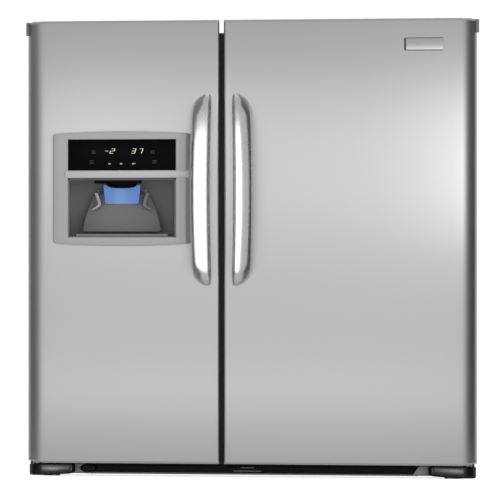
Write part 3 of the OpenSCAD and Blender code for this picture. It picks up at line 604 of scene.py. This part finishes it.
def bar_handle(name, body, node, outer):
    """A bowed bar whose slanted ends turn in to the door."""
    low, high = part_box(node)
    mid_x = (low.x + high.x) / 2
    half_w = (high.x - low.x) / 2 - 0.0005
    bm = bmesh.new()
    ring = bmesh.ops.create_circle(bm, segments=32, radius=1.0, cap_ends=False)["verts"]
    unit = {v: (v.co.x, v.co.y) for v in ring}
    edges = bm.edges[:]

    def put(v, t):
        """Places a corner of the ring at share t of the bar's length."""
        across, deep = unit[v]
        deep = math.copysign(abs(deep) ** 0.92, deep)
        out = (1 + across * outer) / 2
        top = high.z - TOP_SLANT * out ** 1.7
        foot = low.z + FOOT_SLANT * out ** 1.7
        end = max(0.0, (abs(2 * t - 1) - (1 - 2 * END_SHARE)) / (2 * END_SHARE))
        turn_in = END_TURN * end * end
        thick = HANDLE_DEPTH + END_DEPTH * end
        front = low.y + HANDLE_BOW * (2 * t - 1) ** 2 + turn_in
        side = 0.003 * outer * (1 - (2 * t - 1) ** 2) - 0.0020 * outer
        narrow = 1 - 0.10 * end ** 2
        v.co = Vector(
            (
                mid_x + across * half_w * narrow + side,
                front + thick - deep * thick,
                foot + (top - foot) * t,
            )
        )

    for v in ring:
        put(v, 0.0)
    first = edges
    for i in range(1, HANDLE_RINGS + 1):
        made = bmesh.ops.extrude_edge_only(bm, edges=edges)["geom"]
        edges = [g for g in made if isinstance(g, bmesh.types.BMEdge)]
        new = [g for g in made if isinstance(g, bmesh.types.BMVert)]
        fresh = {}
        for v in new:
            old = next(
                e.other_vert(v) for e in v.link_edges if e.other_vert(v) in unit
                and e.other_vert(v) not in new
            )
            fresh[v] = unit[old]
        unit.update(fresh)
        for v in new:
            put(v, i / HANDLE_RINGS)
    for rim in (first, edges):
        bmesh.ops.contextual_create(bm, geom=rim)
    bmesh.ops.recalc_face_normals(bm, faces=bm.faces[:])
    bevel_edges(bm, sharp_edges(bm, 1.0), 0.0012, 2)
    return piece(name, bm, body, FINISHES["handle_metal"], "handle_metal", (node,), 50)


handles = [
    bar_handle("freezer_door_handle", "freezer_door", "freezer_handle", -1),
    bar_handle("fridge_door_handle", "fridge_door", "fridge_handle", 1),
]


# ---------------------------------------------------------------- dispenser

frame_low, frame_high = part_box("dispenser_bezel")
rail_low, rail_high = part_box("dispenser_rail")
FRAME_ARCH = 0.009
FRAME_BOW = 0.0035
# The frame's right side slopes back to the door beside the handle
SLOPE_WIDTH = 0.008
SLOPE_DEPTH = 0.011
FRAME_STRIPS = 18
RECESS_WALL = 0.0025


def dispenser_frame():
    """Bowed frame with arched top and bottom edges, cut out for the window."""
    x0, x1, z0, z1 = frame_low.x, frame_high.x, frame_low.z, frame_high.z
    wx0, wx1, wz0, wz1 = WINDOW
    arch = FRAME_ARCH
    bm = bmesh.new()
    corners = [(x0, z0 + arch), (x1, z0 + arch), (x1, z1 - arch), (x0, z1 - arch)]
    verts = [bm.verts.new((x, 0, z)) for x, z in corners]
    bm.faces.new(verts)
    for vert, radius in zip(verts, (0.010, 0.004, 0.004, 0.010)):
        round_corner(bm, vert, radius, 6)
    for place in (wx0, wx1, x1 - SLOPE_WIDTH):
        cut(bm, 0, place)
    for i in range(1, FRAME_STRIPS - 1):
        cut(bm, 0, x0 + (x1 - x0) * i / FRAME_STRIPS)
    for place in (wz0, wz1):
        cut(bm, 2, place)
    drop_faces(bm, lambda c, n: wx0 < c.x < wx1 and wz0 < c.z < wz1)
    middle, half = (x0 + x1) / 2, (x1 - x0) / 2
    for v in bm.verts:
        share = 1 - ((v.co.x - middle) / half) ** 2
        if v.co.z > wz1 + 0.001:
            v.co.z += arch * share
        elif v.co.z < wz0 - 0.001:
            v.co.z -= arch * share
    lifted = raise_faces(bm, (0, -0.004, 0))
    for v in bm.verts:
        share = 1 - ((v.co.x - middle) / half) ** 2
        if v in lifted:
            v.co.y = frame_low.y + FRAME_BOW * (1 - share)
            v.co.y += SLOPE_DEPTH * max(0.0, 1 - (x1 - v.co.x) / SLOPE_WIDTH)
        else:
            v.co.y = DOOR_FRONT + 0.004
    bmesh.ops.recalc_face_normals(bm, faces=bm.faces[:])
    rim = [
        e for e in sharp_edges(bm)
        if all(v.co.y < frame_low.y + 0.006 for v in e.verts)
    ]
    bevel_edges(bm, rim, 0.0028, 4)
    piece(
        "dispenser_frame", bm, "freezer_door", FINISHES["dispenser_plastic"],
        "dispenser_plastic", ("dispenser_bezel",), 40,
    )


def dispenser_bar():
    """Rail between the display and the recess, reaching the frame's right end."""
    x0, x1 = WINDOW[0] - 0.006, frame_high.x - 0.002
    z0, z1 = rail_low.z, rail_high.z
    front = frame_low.y - 0.0008
    bm = bmesh.new()
    corners = [
        (x0, DOOR_FRONT, z0 + 0.003), (x0, front + 0.001, z0 + 0.006),
        (x0, front - 0.0012, z1 - 0.006), (x0, front + 0.004, z1), (x0, DOOR_FRONT, z1),
    ]
    prism(bm, corners, (x1 - x0, 0, 0), (0, 0.004, 0.003, 0.002, 0), 4, 0.0006)
    piece(
        "dispenser_bar", bm, "freezer_door", RAIL_PAINT,
        "dispenser_plastic", ("dispenser_rail",), 30,
    )


def display_window():
    """Smoked window over the display."""
    x0, x1, z0, z1 = display_low.x, display_high.x, display_low.z, display_high.z
    bm = bmesh.new()
    slab(
        bm, (x0 - 0.001, display_low.y, z0 - 0.001), (x1 + 0.001, display_high.y, z1 + 0.001),
        0.0008, 2,
    )
    piece(
        "display_window", bm, "freezer_door", FINISHES["display_glass"], "display_glass",
        ("display_panel",), 30,
    )


# Lit bars of each symbol, named from the top round to the middle
SEGMENTS = {"-": "g", "2": "abdeg", "3": "abcdg", "7": "abc"}
DIGIT_WIDTH = 0.0090
DIGIT_HEIGHT = 0.0190
DIGIT_FOOT = 1.2505
BAR_WIDTH = 0.0014
DIGIT_LEAN = 0.18


def digit(bm, symbol, x, z, front):
    """One sloping seven bar digit with its lower left corner at x and z."""
    width, height, t = DIGIT_WIDTH, DIGIT_HEIGHT, BAR_WIDTH
    half = height / 2
    bars = {
        "a": ((t, height - t), (width - t, height)),
        "g": ((t, half - t / 2), (width - t, half + t / 2)),
        "d": ((t, 0), (width - t, t)),
        "b": ((width - t, half), (width, height)),
        "e": ((0, 0), (t, half)),
        "c": ((width - t, 0), (width, half)),
    }
    for key in SEGMENTS[symbol]:
        (u0, v0), (u1, v1) = bars[key]
        corners = [(u0, v0), (u1, v0), (u1, v1), (u0, v1)]
        prism(
            bm, [(x + u + DIGIT_LEAN * v, front, z + v) for u, v in corners],
            (0, 0.0004, 0), (0.0003,) * 4, 2,
        )


def display_marks():
    """Two lit numbers, a row of printed symbols with a painted glow, and the faint marks of the
    other keys.
    """
    front = display_low.y - 0.0003
    bm = bmesh.new()
    for symbol, x in (("-", -0.2985), ("2", -0.2870), ("3", -0.2440), ("7", -0.2300)):
        digit(bm, symbol, x, DIGIT_FOOT, front)
    piece("display_digits", bm, "freezer_door", GLOW_DIGITS, "display_glass", (), 30)
    bm = bmesh.new()
    for x in (-0.2865, -0.2630, -0.2385):
        turned(
            bm, [(0, 0.0004), (0.0022, 0.0004), (0.0026, 0), (0.0026, -0.0002)],
            (x, front + 0.0002, 1.2105), (0, -1, 0), 20,
        )
    slab(bm, (-0.2655, front, 1.2095), (-0.2600, front + 0.0004, 1.2120), 0.0001, 1)
    prism(
        bm, [(-0.2365, front, 1.2085), (-0.2325, front, 1.2130), (-0.2365, front, 1.2130)],
        (0, 0.0004, 0),
    )
    piece("display_symbols", bm, "freezer_door", GLOW_ICONS, "display_glass", (), 30)
    bm = bmesh.new()
    for x, z in ((-0.3230, 1.250), (-0.2030, 1.250), (-0.3270, 1.212), (-0.1990, 1.212)):
        for step in range(3):
            foot = z + 0.0050 * step
            slab(bm, (x, front, foot), (x + 0.0085, front + 0.0003, foot + 0.0016), 0.0001, 1)
    piece("display_faint_marks", bm, "freezer_door", DIM_MARKS, "display_glass", (), 30)


def recess():
    """Moulded tub behind the frame, open at the front, with soft corners."""
    x0, x1, z0, z1 = cavity_low.x, cavity_high.x, cavity_low.z, cavity_high.z
    part = bmesh.new()
    verts = [part.verts.new(c) for c in (
        (x0, cavity_low.y, z0), (x1, cavity_low.y, z0), (x1, cavity_low.y, z1),
        (x0, cavity_low.y, z1),
    )]
    part.faces.new(verts)
    for vert in verts:
        round_corner(part, vert, 0.007, 6)
    raise_faces(part, (0, cavity_high.y - cavity_low.y, 0))
    bmesh.ops.recalc_face_normals(part, faces=part.faces[:])
    back = [e for e in sharp_edges(part) if all(v.co.y > cavity_high.y - 1e-4 for v in e.verts)]
    bevel_edges(part, back, 0.018, 6)
    drop_faces(part, lambda c, n: c.y < cavity_low.y + 1e-4)
    made = piece(
        "dispenser_recess", part, "freezer_door", FINISHES["recess_plastic"], "recess_plastic",
        ("dispenser_cavity",), 40, False,
    )
    wall(made, RECESS_WALL)


# Middle of the chute and of the paddle under it
CHUTE_X = -0.2615


def chute():
    """Dark mouth of the ice chute, its lit lens and the two mirrored guides beside it, the left
    one lighter as painted light and the right one darker as painted shade.
    """
    bm = bmesh.new()
    slab(bm, (-0.3170, -0.352, 1.1340), (-0.2210, -0.262, 1.1480), 0.003, 3)
    turned(
        bm, [(0, -0.0185), (0.014, -0.0178), (0.024, -0.0150), (0.0300, -0.0090), (0.0325, 0.004)],
        (CHUTE_X, -0.305, 1.1340), (0, 0, 1), 40,
    )
    piece("chute_mouth", bm, "freezer_door", DOME_BLACK, "black_plastic", ("ice_chute",), 40)
    bm = bmesh.new()
    turned(
        bm, [(0.0300, -0.0720), (0.0335, -0.0700), (0.0350, -0.0500), (0.0365, -0.0240),
             (0.0375, 0.0), (0.0340, 0.0), (0.0330, -0.0240), (0.0315, -0.0500),
             (0.0295, -0.0700), (0.0300, -0.0720)],
        (CHUTE_X, -0.292, 1.1270), (0, 0, 1), 48,
    )
    drop_faces(bm, lambda c, n: c.y < -0.2985)
    piece("chute_lens", bm, "freezer_door", BLUE_LENS, "dispenser_plastic", (), 40)
    # The guides are one moulding mirrored: the left takes the lighter dispenser plastic as a
    # painted highlight, the right the darker recess plastic as painted shade.
    for name, side, slot in (("left", -1, "dispenser_plastic"), ("right", 1, "recess_plastic")):
        bm = bmesh.new()
        corners = [(0.0500, 1.0985), (0.0560, 1.0985), (0.0510, 1.0700), (0.0480, 1.0520),
                   (0.0640, 1.0330), (0.0560, 1.0330), (0.0420, 1.0480), (0.0440, 1.0700)]
        prism(
            bm, [(CHUTE_X + side * u, -0.285, z) for u, z in corners], (0, 0.020, 0),
            (0.002, 0.002, 0.006, 0.006, 0.002, 0.002, 0.006, 0.006), 3, 0.0005,
        )
        piece("chute_guide_" + name, bm, "freezer_door", FINISHES[slot], slot, (), 40)


PADDLE_LEAN = math.radians(8)
PADDLE_HALF = 0.08
PADDLE_BULGE = 0.004
PADDLE_FRONT = -0.252
PADDLE_MIDDLE = 1.040
# Height of the pivot over the paddle's middle
PADDLE_PIVOT = 0.068


def bell_paddle():
    """Bell shaped plate with two small tabs and a pivot bar, hung in front of the recess's back.
    """
    low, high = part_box("paddle")
    bm = bmesh.new()
    outline = [(-0.058, 0.052), (0.058, 0.052), (0.060, 0.032), (0.068, 0.0), (0.076, -0.045),
               (0.080, -0.092), (-0.080, -0.092), (-0.076, -0.045), (-0.068, 0.0), (-0.060, 0.032)]

    def leaned(co):
        bulge = PADDLE_BULGE * (1 - (co.x / PADDLE_HALF) ** 2)
        return Vector((
            CHUTE_X + co.x,
            PADDLE_FRONT + co.y + (co.z - PADDLE_PIVOT) * math.tan(PADDLE_LEAN) - bulge,
            PADDLE_MIDDLE + co.z,
        ))

    prism(
        bm, [(u, 0, v) for u, v in outline], (0, 0.003, 0),
        (0.010, 0.010, 0.02, 0.02, 0.02, 0.008, 0.008, 0.02, 0.02, 0.02), 5, 0.0008, leaned,
    )
    for side in (-1, 1):
        prism(
            bm, [(side * 0.046, 0.002, 0.050), (side * 0.050, 0.002, 0.050),
                 (side * 0.050, 0.002, 0.072), (side * 0.046, 0.002, 0.072)],
            (0, 0.004, 0), (0.001,) * 4, 2, 0.0, leaned,
        )
    turned(
        bm, [(0, -0.052), (0.003, -0.052), (0.003, 0.052), (0, 0.052)],
        (CHUTE_X, -0.250, 1.108), (1, 0, 0), 20,
    )
    piece("dispenser_paddle", bm, "paddle", FINISHES["paddle_plastic"], "paddle_plastic",
          ("paddle",), 35)


def tray():
    """Lift out tray: a rim, a bed and thin bars across it."""
    low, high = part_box("drip_tray")
    bm = bmesh.new()
    slab(bm, (low.x, low.y, low.z), (high.x, high.y, low.z + 0.003), 0.001, 2)
    for a, b in (
        ((low.x, low.y), (high.x, low.y + 0.008)), ((low.x, high.y - 0.008), (high.x, high.y)),
        ((low.x, low.y), (low.x + 0.008, high.y)), ((high.x - 0.008, low.y), (high.x, high.y)),
    ):
        slab(bm, (*a, low.z), (*b, high.z), 0.002, 3)
    gaps = 13
    for i in range(1, gaps):
        x = low.x + (high.x - low.x) * i / gaps
        slab(
            bm, (x - 0.0025, low.y + 0.006, high.z - 0.005),
            (x + 0.0025, high.y - 0.006, high.z - 0.001), 0.001, 2,
        )
    piece("dispenser_tray", bm, "drip_tray", FINISHES["paddle_plastic"], "paddle_plastic",
          ("drip_tray",), 35)


dispenser_frame()
dispenser_bar()
display_window()
display_marks()
recess()
chute()
bell_paddle()
tray()


# ---------------------------------------------------------------- badge


def badge():
    """Blank crowned plaque on a darker bed."""
    low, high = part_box("badge_plaque")
    face = door_front_at((low.x + high.x) / 2, "fridge_door")
    bm = bmesh.new()
    corners = [(low.x, low.z), (high.x, low.z), (high.x, high.z), (low.x, high.z)]
    prism(
        bm, [(x, face - 0.0008, z) for x, z in corners], (0, 0.0028, 0), (0.003,) * 4, 4, 0.0003
    )
    piece("door_plaque_bed", bm, "fridge_door", PLAQUE_BED, "plaque_metal", ("badge_plaque",), 30)
    bm = bmesh.new()
    inner = [(low.x + 0.005, low.z + 0.004), (high.x, low.z + 0.004),
             (high.x, high.z - 0.003), (low.x + 0.005, high.z - 0.003)]
    middle_z = (low.z + high.z) / 2

    def crowned(co):
        share = abs(co.z - middle_z) / (high.z - low.z) * 2
        return Vector((co.x, co.y + (0.0022 * share ** 2 if co.y < face - 0.001 else 0), co.z))

    part = bmesh.new()
    part.faces.new([part.verts.new((x, low.y, z)) for x, z in inner])
    strips = 12
    for i in range(1, strips):
        cut(part, 2, inner[0][1] + (inner[2][1] - inner[0][1]) * i / strips)
    raise_faces(part, (0, face + 0.001 - low.y, 0))
    for v in part.verts:
        v.co = crowned(v.co)
    join(bm, part)
    bmesh.ops.recalc_face_normals(bm, faces=bm.faces[:])
    piece("door_plaque", bm, "fridge_door", FINISHES["plaque_metal"], "plaque_metal", (), 30)


badge()


# ---------------------------------------------------------------- base

grille_low, grille_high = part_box("toe_grille")
pods_low, pods_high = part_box("foot_pods")
GRILLE_ENDS = (-0.366, 0.366)
END_PIECE = 0.029
END_SLANT = 0.013
BUTTON_X = -0.007


def toe_grille():
    """Slatted grille with slanted end pieces, a lower trim and an oval button."""
    x0, x1 = GRILLE_ENDS
    z0, z1 = grille_low.z, grille_high.z
    front, rear = grille_low.y, grille_high.y
    bm = bmesh.new()
    slab(bm, (x0, rear - 0.004, z0), (x1, rear, z1), 0.001, 2)
    for z in (0.020, 0.029, 0.038):
        slab(
            bm, (x0 + END_PIECE, front + 0.003, z - 0.0016),
            (x1 - END_PIECE, rear - 0.002, z + 0.0016), 0.0008, 2,
        )
    slab(bm, (x0 + END_PIECE, front + 0.001, z1 - 0.004), (x1 - END_PIECE, rear, z1), 0.001, 2)
    piece("toe_grille_bars", bm, "cabinet", FINISHES["black_plastic"], "black_plastic",
          ("toe_grille",), 35)
    bm = bmesh.new()
    slab(
        bm, (x0 + END_PIECE, front, z0 - 0.001), (x1 - END_PIECE, front + 0.008, z0 + 0.006),
        0.002, 3,
    )
    piece("toe_grille_trim", bm, "cabinet", FINISHES["recess_plastic"], "recess_plastic", (), 35)
    bm = bmesh.new()
    for outer, way in ((x0, 1), (x1, -1)):
        inner = outer + way * END_PIECE
        corners = [
            (outer, z0), (inner + way * END_SLANT, z0), (inner, z1 - 0.001), (outer, z1 - 0.001),
        ]
        prism(
            bm, [(x, front - 0.0005, z) for x, z in corners], (0, rear - front, 0),
            (0, 0.004, 0.004, 0), 4, 0.002,
        )
    piece(
        "toe_grille_ends", bm, "cabinet", FINISHES["dispenser_plastic"], "dispenser_plastic", (),
        35,
    )
    bm = bmesh.new()
    for z, half in ((0.0365, 0.014), (0.0235, 0.028)):
        corners = [
            (-half, z - 0.0018), (half, z - 0.0018), (half, z + 0.0018), (-half, z + 0.0018),
        ]
        prism(
            bm, [(BUTTON_X + x, front - 0.0005, zz) for x, zz in corners], (0, 0.004, 0),
            (0.0016,) * 4, 4, 0.0003,
        )
    piece("toe_grille_oval", bm, "cabinet", FINISHES["recess_plastic"], "recess_plastic", (), 35)


def filter_knob():
    """Knob in the grille, with the cartridge's neck and body behind it."""
    low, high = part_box("water_filter")
    x, z = (low.x + high.x) / 2, 0.030
    bm = bmesh.new()
    turned(
        bm, [(0, 0.0125), (0.010, 0.012), (0.0150, 0.0095), (0.0165, 0.005), (0.0165, -0.010),
             (0.014, -0.012), (0.014, -0.055), (0.019, -0.056), (0.019, -0.300), (0, -0.302)],
        (x, -0.295, z), (0, -1, 0), 40,
    )
    corners = [(-0.0035, -0.0135), (0.0035, -0.0135), (0.0035, 0.0135), (-0.0035, 0.0135)]
    prism(
        bm, [(x + u, -0.3118, z + v) for u, v in corners], (0, 0.010, 0), (0.003,) * 4, 4, 0.001
    )
    piece("filter_knob", bm, "water_filter", FINISHES["black_plastic"], "black_plastic",
          ("water_filter",), 35)


COVER_FOOT = 0.002
COVER_TOP = 0.0485
COVER_FRONT = -0.345
COVER_REAR = -0.2895
# Length and height of the sweep under a cover's inner end
SWEEP_LENGTH = 0.055
SWEEP_HEIGHT = 0.010


def foot_cover(name, x0, x1, outer, stands_for=()):
    """Rounded cover over a lower hinge; its underside sweeps up towards the grille."""
    top, low = COVER_TOP, COVER_FOOT
    front, rear = COVER_FRONT, COVER_REAR
    bm = bmesh.new()
    corners = [(x0, rear), (x0, front), (x1, front), (x1, rear)]
    rounds = (0, 0.026, 0.012, 0) if outer < 0 else (0, 0.012, 0.026, 0)
    inner_x = x1 if outer < 0 else x0

    def swept(co):
        near = max(0.0, 1 - abs(co.x - inner_x) / SWEEP_LENGTH)
        z = co.z
        if z < 0.02:
            z += SWEEP_HEIGHT * near ** 2
        back = 0.12 * (z - low) if co.y < front + 0.02 else 0.0
        return Vector((co.x, co.y + back, z))

    prism(bm, [(x, y, low) for x, y in corners], (0, 0, top - low), rounds, 8, 0.006, swept)
    return piece(name, bm, "cabinet", FOOT_GLOSS, "black_plastic", stands_for, 35)


toe_grille()
filter_knob()
feet = [
    foot_cover("foot_cover_left", pods_low.x + 0.002, -0.357, -1, ("foot_pods",)),
    foot_cover("foot_cover_right", 0.356, pods_high.x - 0.002, 1),
]


# ---------------------------------------------------------------- cabinet

shell_low, shell_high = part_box("cabinet_shell")
SHEET = 0.0015
FACE_WIDTH = 0.045
FLOOR_Z = 0.085
DECK_Y = 0.130
HINGE_COVER = 0.082
SEAL_WIDTH = 0.022


def cabinet_wrapper():
    """One folded sheet over both sides and the top, the front face and the deck."""
    bm = bmesh.new()
    x0, x1 = shell_low.x, shell_high.x
    corners = [(x0, shell_low.z), (x0, shell_high.z), (x1, shell_high.z), (x1, shell_low.z)]
    verts = [bm.verts.new((x, shell_low.y, z)) for x, z in corners]
    bm.faces.new(verts)
    for vert in verts[1:3]:
        round_corner(bm, vert, 0.004, 5)
    raise_faces(bm, (0, shell_high.y - shell_low.y, 0))
    bmesh.ops.recalc_face_normals(bm, faces=bm.faces[:])
    drop_faces(bm, lambda c, n: n.z < -0.9 or abs(n.y) > 0.9)
    made = piece("cabinet_wrapper", bm, "cabinet", FINISHES["cabinet_paint"], "cabinet_paint",
                 ("cabinet_shell",), 40, False)
    freezer_low, freezer_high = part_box("freezer_liner")
    fridge_low, fridge_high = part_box("fridge_liner")
    wall(made, SHEET)
    bm = bmesh.new()
    front = shell_low.y
    left, right, top = x0 + SHEET, x1 - SHEET, shell_high.z - SHEET
    face_left, face_right = x0 + FACE_WIDTH, x1 - FACE_WIDTH
    bars = [
        ((left, FLOOR_Z), (face_left, top)),
        ((face_right, FLOOR_Z), (right, top)),
        ((face_left, 1.665), (face_right, top)),
        ((face_left, FLOOR_Z), (face_right, 0.130)),
    ]
    for (a, b), (c, d) in bars:
        slab(bm, (a, front, b), (c, front + SHEET, d), 0.0003, 1)
    # Near-black bar over the mullion: painted shade for the dark gap between the two doors.
    centre_bar_painted_shade = bmesh.new()
    slab(
        centre_bar_painted_shade, (-0.0815, front - 0.0006, 0.0855), (-0.0365, front + 0.001, 1.712), 0.0003, 1
    )
    piece("cabinet_centre_bar", centre_bar_painted_shade, "cabinet", FINISHES["chassis_steel"], "chassis_steel")
    slab(bm, (left, front + SHEET, FLOOR_Z), (right, DECK_Y, 0.0865))
    slab(bm, (left, DECK_Y, FLOOR_Z), (right, 0.1315, 0.3465))
    slab(bm, (left, 0.1315, 0.345), (right, shell_high.y, 0.3465))
    piece("cabinet_face", bm, "cabinet", FINISHES["cabinet_paint"], "cabinet_paint", (), 35)


def hinge_cover_pair():
    """Covers over the two upper hinges, rounder on their inner side."""
    low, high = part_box("hinge_covers")
    bm = bmesh.new()
    for a, b in ((low.x, low.x + HINGE_COVER), (high.x - HINGE_COVER, high.x)):
        corners = [(a, low.y), (b, low.y), (b, high.y), (a, high.y)]
        outer_left = a < 0
        rounds = (0.006, 0.014, 0.014, 0.006) if outer_left else (0.014, 0.006, 0.006, 0.014)
        prism(bm, [(x, y, low.z) for x, y in corners], (0, 0, high.z - low.z), rounds, 6, 0.006)
    piece("upper_hinge_covers", bm, "cabinet", FINISHES["cap_plastic"], "cap_plastic",
          ("hinge_covers",), 35)


def gasket(name, body, node):
    """Ribbed ring seal with a deep fold round its middle."""
    low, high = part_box(node)
    bm = bmesh.new()
    lips = ((0.0, 0.0045, 0.0), (0.0045, 0.0075, 0.005), (0.0075, high.y - low.y, 0.001))
    for start, end, draw_in in lips:
        part = bmesh.new()
        x0, x1 = low.x + draw_in, high.x - draw_in
        z0, z1 = low.z + draw_in, high.z - draw_in
        verts = [part.verts.new((x, low.y + start, z)) for x, z in
                 ((x0, z0), (x1, z0), (x1, z1), (x0, z1))]
        part.faces.new(verts)
        for vert in verts:
            round_corner(part, vert, 0.012, 5)
        hole = bmesh.ops.inset_region(
            part, faces=part.faces[:], thickness=SEAL_WIDTH - 2 * draw_in, use_boundary=True,
            use_even_offset=True,
        )
        ring = set(hole["faces"])
        bmesh.ops.delete(part, geom=[f for f in part.faces if f not in ring], context="FACES")
        raise_faces(part, (0, end - start, 0))
        bmesh.ops.recalc_face_normals(part, faces=part.faces[:])
        bevel_edges(part, sharp_edges(part, 1.2), 0.0008, 2)
        join(bm, part)
    piece(name, bm, body, FINISHES["seal_rubber"], "seal_rubber", (node,), 35)


cabinet_wrapper()
hinge_cover_pair()
gasket("freezer_door_seal", "freezer_door", "freezer_door_gasket")
gasket("fridge_door_seal", "fridge_door", "fridge_door_gasket")


# ---------------------------------------------------------------- studio

FLOOR_RADIUS = 2.6
FLOOR_GLOW = 0.75


def studio_floor():
    """A pale disc that fades out, and glows only where it is looked at directly."""
    bm = bmesh.new()
    bmesh.ops.create_circle(bm, segments=96, radius=FLOOR_RADIUS, cap_ends=True)
    mesh = bpy.data.meshes.new("studio_floor")
    bm.to_mesh(mesh)
    bm.free()
    floor = bpy.data.objects.new("studio_floor", mesh)
    floor.location.z = -0.0005
    bpy.context.scene.collection.objects.link(floor)
    material = bpy.data.materials.new("pale studio floor")
    material.use_nodes = True
    tree = material.node_tree
    shader = tree.nodes["Principled BSDF"]
    shader.inputs["Roughness"].default_value = 0.75
    place = tree.nodes.new("ShaderNodeTexCoord").outputs["Object"]
    grain = tree.nodes.new("ShaderNodeTexNoise")
    grain.inputs["Scale"].default_value = 40
    tree.links.new(place, grain.inputs["Vector"])
    shade = tree.nodes.new("ShaderNodeMapRange")
    shade.inputs["To Min"].default_value = 0.78
    shade.inputs["To Max"].default_value = 0.82
    tree.links.new(grain.outputs[0], shade.inputs["Value"])
    tree.links.new(shade.outputs[0], shader.inputs["Base Color"])
    shader.inputs["Emission Color"].default_value = (1, 1, 1, 1)
    seen = tree.nodes.new("ShaderNodeLightPath")
    tree.links.new(
        sums(tree, "MULTIPLY", seen.outputs["Is Camera Ray"], FLOOR_GLOW),
        shader.inputs["Emission Strength"],
    )
    reach = tree.nodes.new("ShaderNodeVectorMath")
    reach.operation = "LENGTH"
    tree.links.new(place, reach.inputs[0])
    fade = tree.nodes.new("ShaderNodeMapRange")
    fade.interpolation_type = "SMOOTHSTEP"
    fade.inputs["From Min"].default_value = 0.5
    fade.inputs["From Max"].default_value = 1.3
    tree.links.new(reach.outputs["Value"], fade.inputs["Value"])
    nothing = tree.nodes.new("ShaderNodeBsdfTransparent")
    mixed = tree.nodes.new("ShaderNodeMixShader")
    tree.links.new(fade.outputs[0], mixed.inputs[0])
    tree.links.new(shader.outputs[0], mixed.inputs[1])
    tree.links.new(nothing.outputs[0], mixed.inputs[2])
    tree.links.new(mixed.outputs[0], tree.nodes["Material Output"].inputs[0])
    mesh.materials.append(material)


def studio_world():
    """White behind the object, a softer grey for what the metal reflects."""
    world = bpy.data.worlds.new("studio")
    world.use_nodes = True
    bpy.context.scene.world = world
    tree = world.node_tree
    soft = tree.nodes["Background"]
    soft.inputs[0].default_value = (0.56, 0.56, 0.565, 1)
    soft.inputs[1].default_value = 1.0
    white = tree.nodes.new("ShaderNodeBackground")
    white.inputs[0].default_value = (1, 1, 1, 1)
    white.inputs[1].default_value = 1.02
    seen = tree.nodes.new("ShaderNodeLightPath")
    mixed = tree.nodes.new("ShaderNodeMixShader")
    tree.links.new(seen.outputs["Is Camera Ray"], mixed.inputs[0])
    tree.links.new(soft.outputs[0], mixed.inputs[1])
    tree.links.new(white.outputs[0], mixed.inputs[2])
    tree.links.new(mixed.outputs[0], tree.nodes["World Output"].inputs[0])


def softbox(name, place, aim, size, power):
    """An oblong lamp that the camera does not see."""
    data = bpy.data.lights.new(name, "AREA")
    data.shape = "RECTANGLE"
    data.size, data.size_y = size
    data.energy = power
    lamp = bpy.data.objects.new(name, data)
    lamp.location = place
    lamp.rotation_euler = (Vector(aim) - Vector(place)).to_track_quat("-Z", "Y").to_euler()
    lamp.visible_camera = False
    bpy.context.scene.collection.objects.link(lamp)
    return lamp


def for_few(lamp, name, pieces):
    """Lets a lamp light only the given pieces, as a snoot does."""
    lit = bpy.data.collections.new(name + "_light_only")
    for o in pieces:
        lit.objects.link(o)
    lamp.light_linking.receiver_collection = lit


def spare(lamp, name, pieces):
    """Keeps a lamp off the given pieces."""
    spared = bpy.data.collections.new(name + "_light_spares")
    for o in pieces:
        spared.objects.link(o)
    for entry in spared.collection_objects:
        entry.light_linking.link_state = "EXCLUDE"
    lamp.light_linking.receiver_collection = spared


def dark_flag(name, x, tone):
    """A dark card beside the object that only shiny surfaces see."""
    bm = bmesh.new()
    corners = [(x, -1.10, -0.2), (x, -0.20, -0.2), (x, -0.20, 2.6), (x, -1.10, 2.6)]
    bm.faces.new([bm.verts.new(c) for c in corners])
    mesh = bpy.data.meshes.new(name)
    bm.to_mesh(mesh)
    bm.free()
    card = bpy.data.objects.new(name, mesh)
    bpy.context.scene.collection.objects.link(card)
    material = finish(name + " cloth", (tone, tone, tone), 0.9, tone=0.1, bump=0.0)
    mesh.materials.append(material)
    card.visible_camera = False
    card.visible_diffuse = False
    card.visible_shadow = False


studio_floor()
studio_world()
room_lamps = [
    softbox("upper right box", (0.66, -1.20, 1.22), (0.52, -0.36, 1.22), (0.40, 0.56), 0.86),
    softbox("upper middle box", (0.06, -1.35, 1.24), (0.06, -0.36, 1.23), (1.20, 0.60), 0.62),
    softbox("upper left box", (-0.42, -1.30, 1.34), (-0.36, -0.36, 1.33), (0.42, 0.34), 0.14),
    softbox("broad front", (0.0, -1.30, 0.90), (0.0, -0.36, 0.90), (1.6, 1.22), 1.72),
    softbox("low strip", (0.0, -1.10, 0.30), (0.0, -0.36, 0.30), (1.5, 0.16), 0.36),
    softbox("overhead", (0.2, -0.2, 3.2), (0, -0.2, 1.0), (1.8, 1.8), 14),
]
for lamp in room_lamps:
    spare(lamp, lamp.name, handles)
dark_flag("dark flag left", -0.95, 0.26)
dark_flag("dark flag right", 0.95, 0.11)
left_strip = softbox(
    "left handle strip", (-0.40, -0.75, 1.00), (-0.40, -0.42, 1.00), (1.20, 0.90), 3.8
)
right_strip = softbox(
    "right handle strip", (-0.28, -0.75, 1.00), (-0.28, -0.42, 1.00), (0.46, 0.90), 2.0
)
for_few(left_strip, "left_handle", handles[:1])
for_few(right_strip, "right_handle", handles[1:])
for side, x in (("left", -0.420), ("right", 0.428)):
    foot_lamp = softbox(
        "foot light " + side, (x, -1.30, 0.29), (x, -0.345, 0.03), (0.10, 0.08), 2.2
    )
    for_few(foot_lamp, "foot_" + side, feet)
bpy.context.scene.view_settings.view_transform = "Standard"
bpy.context.scene.view_settings.look = "None"
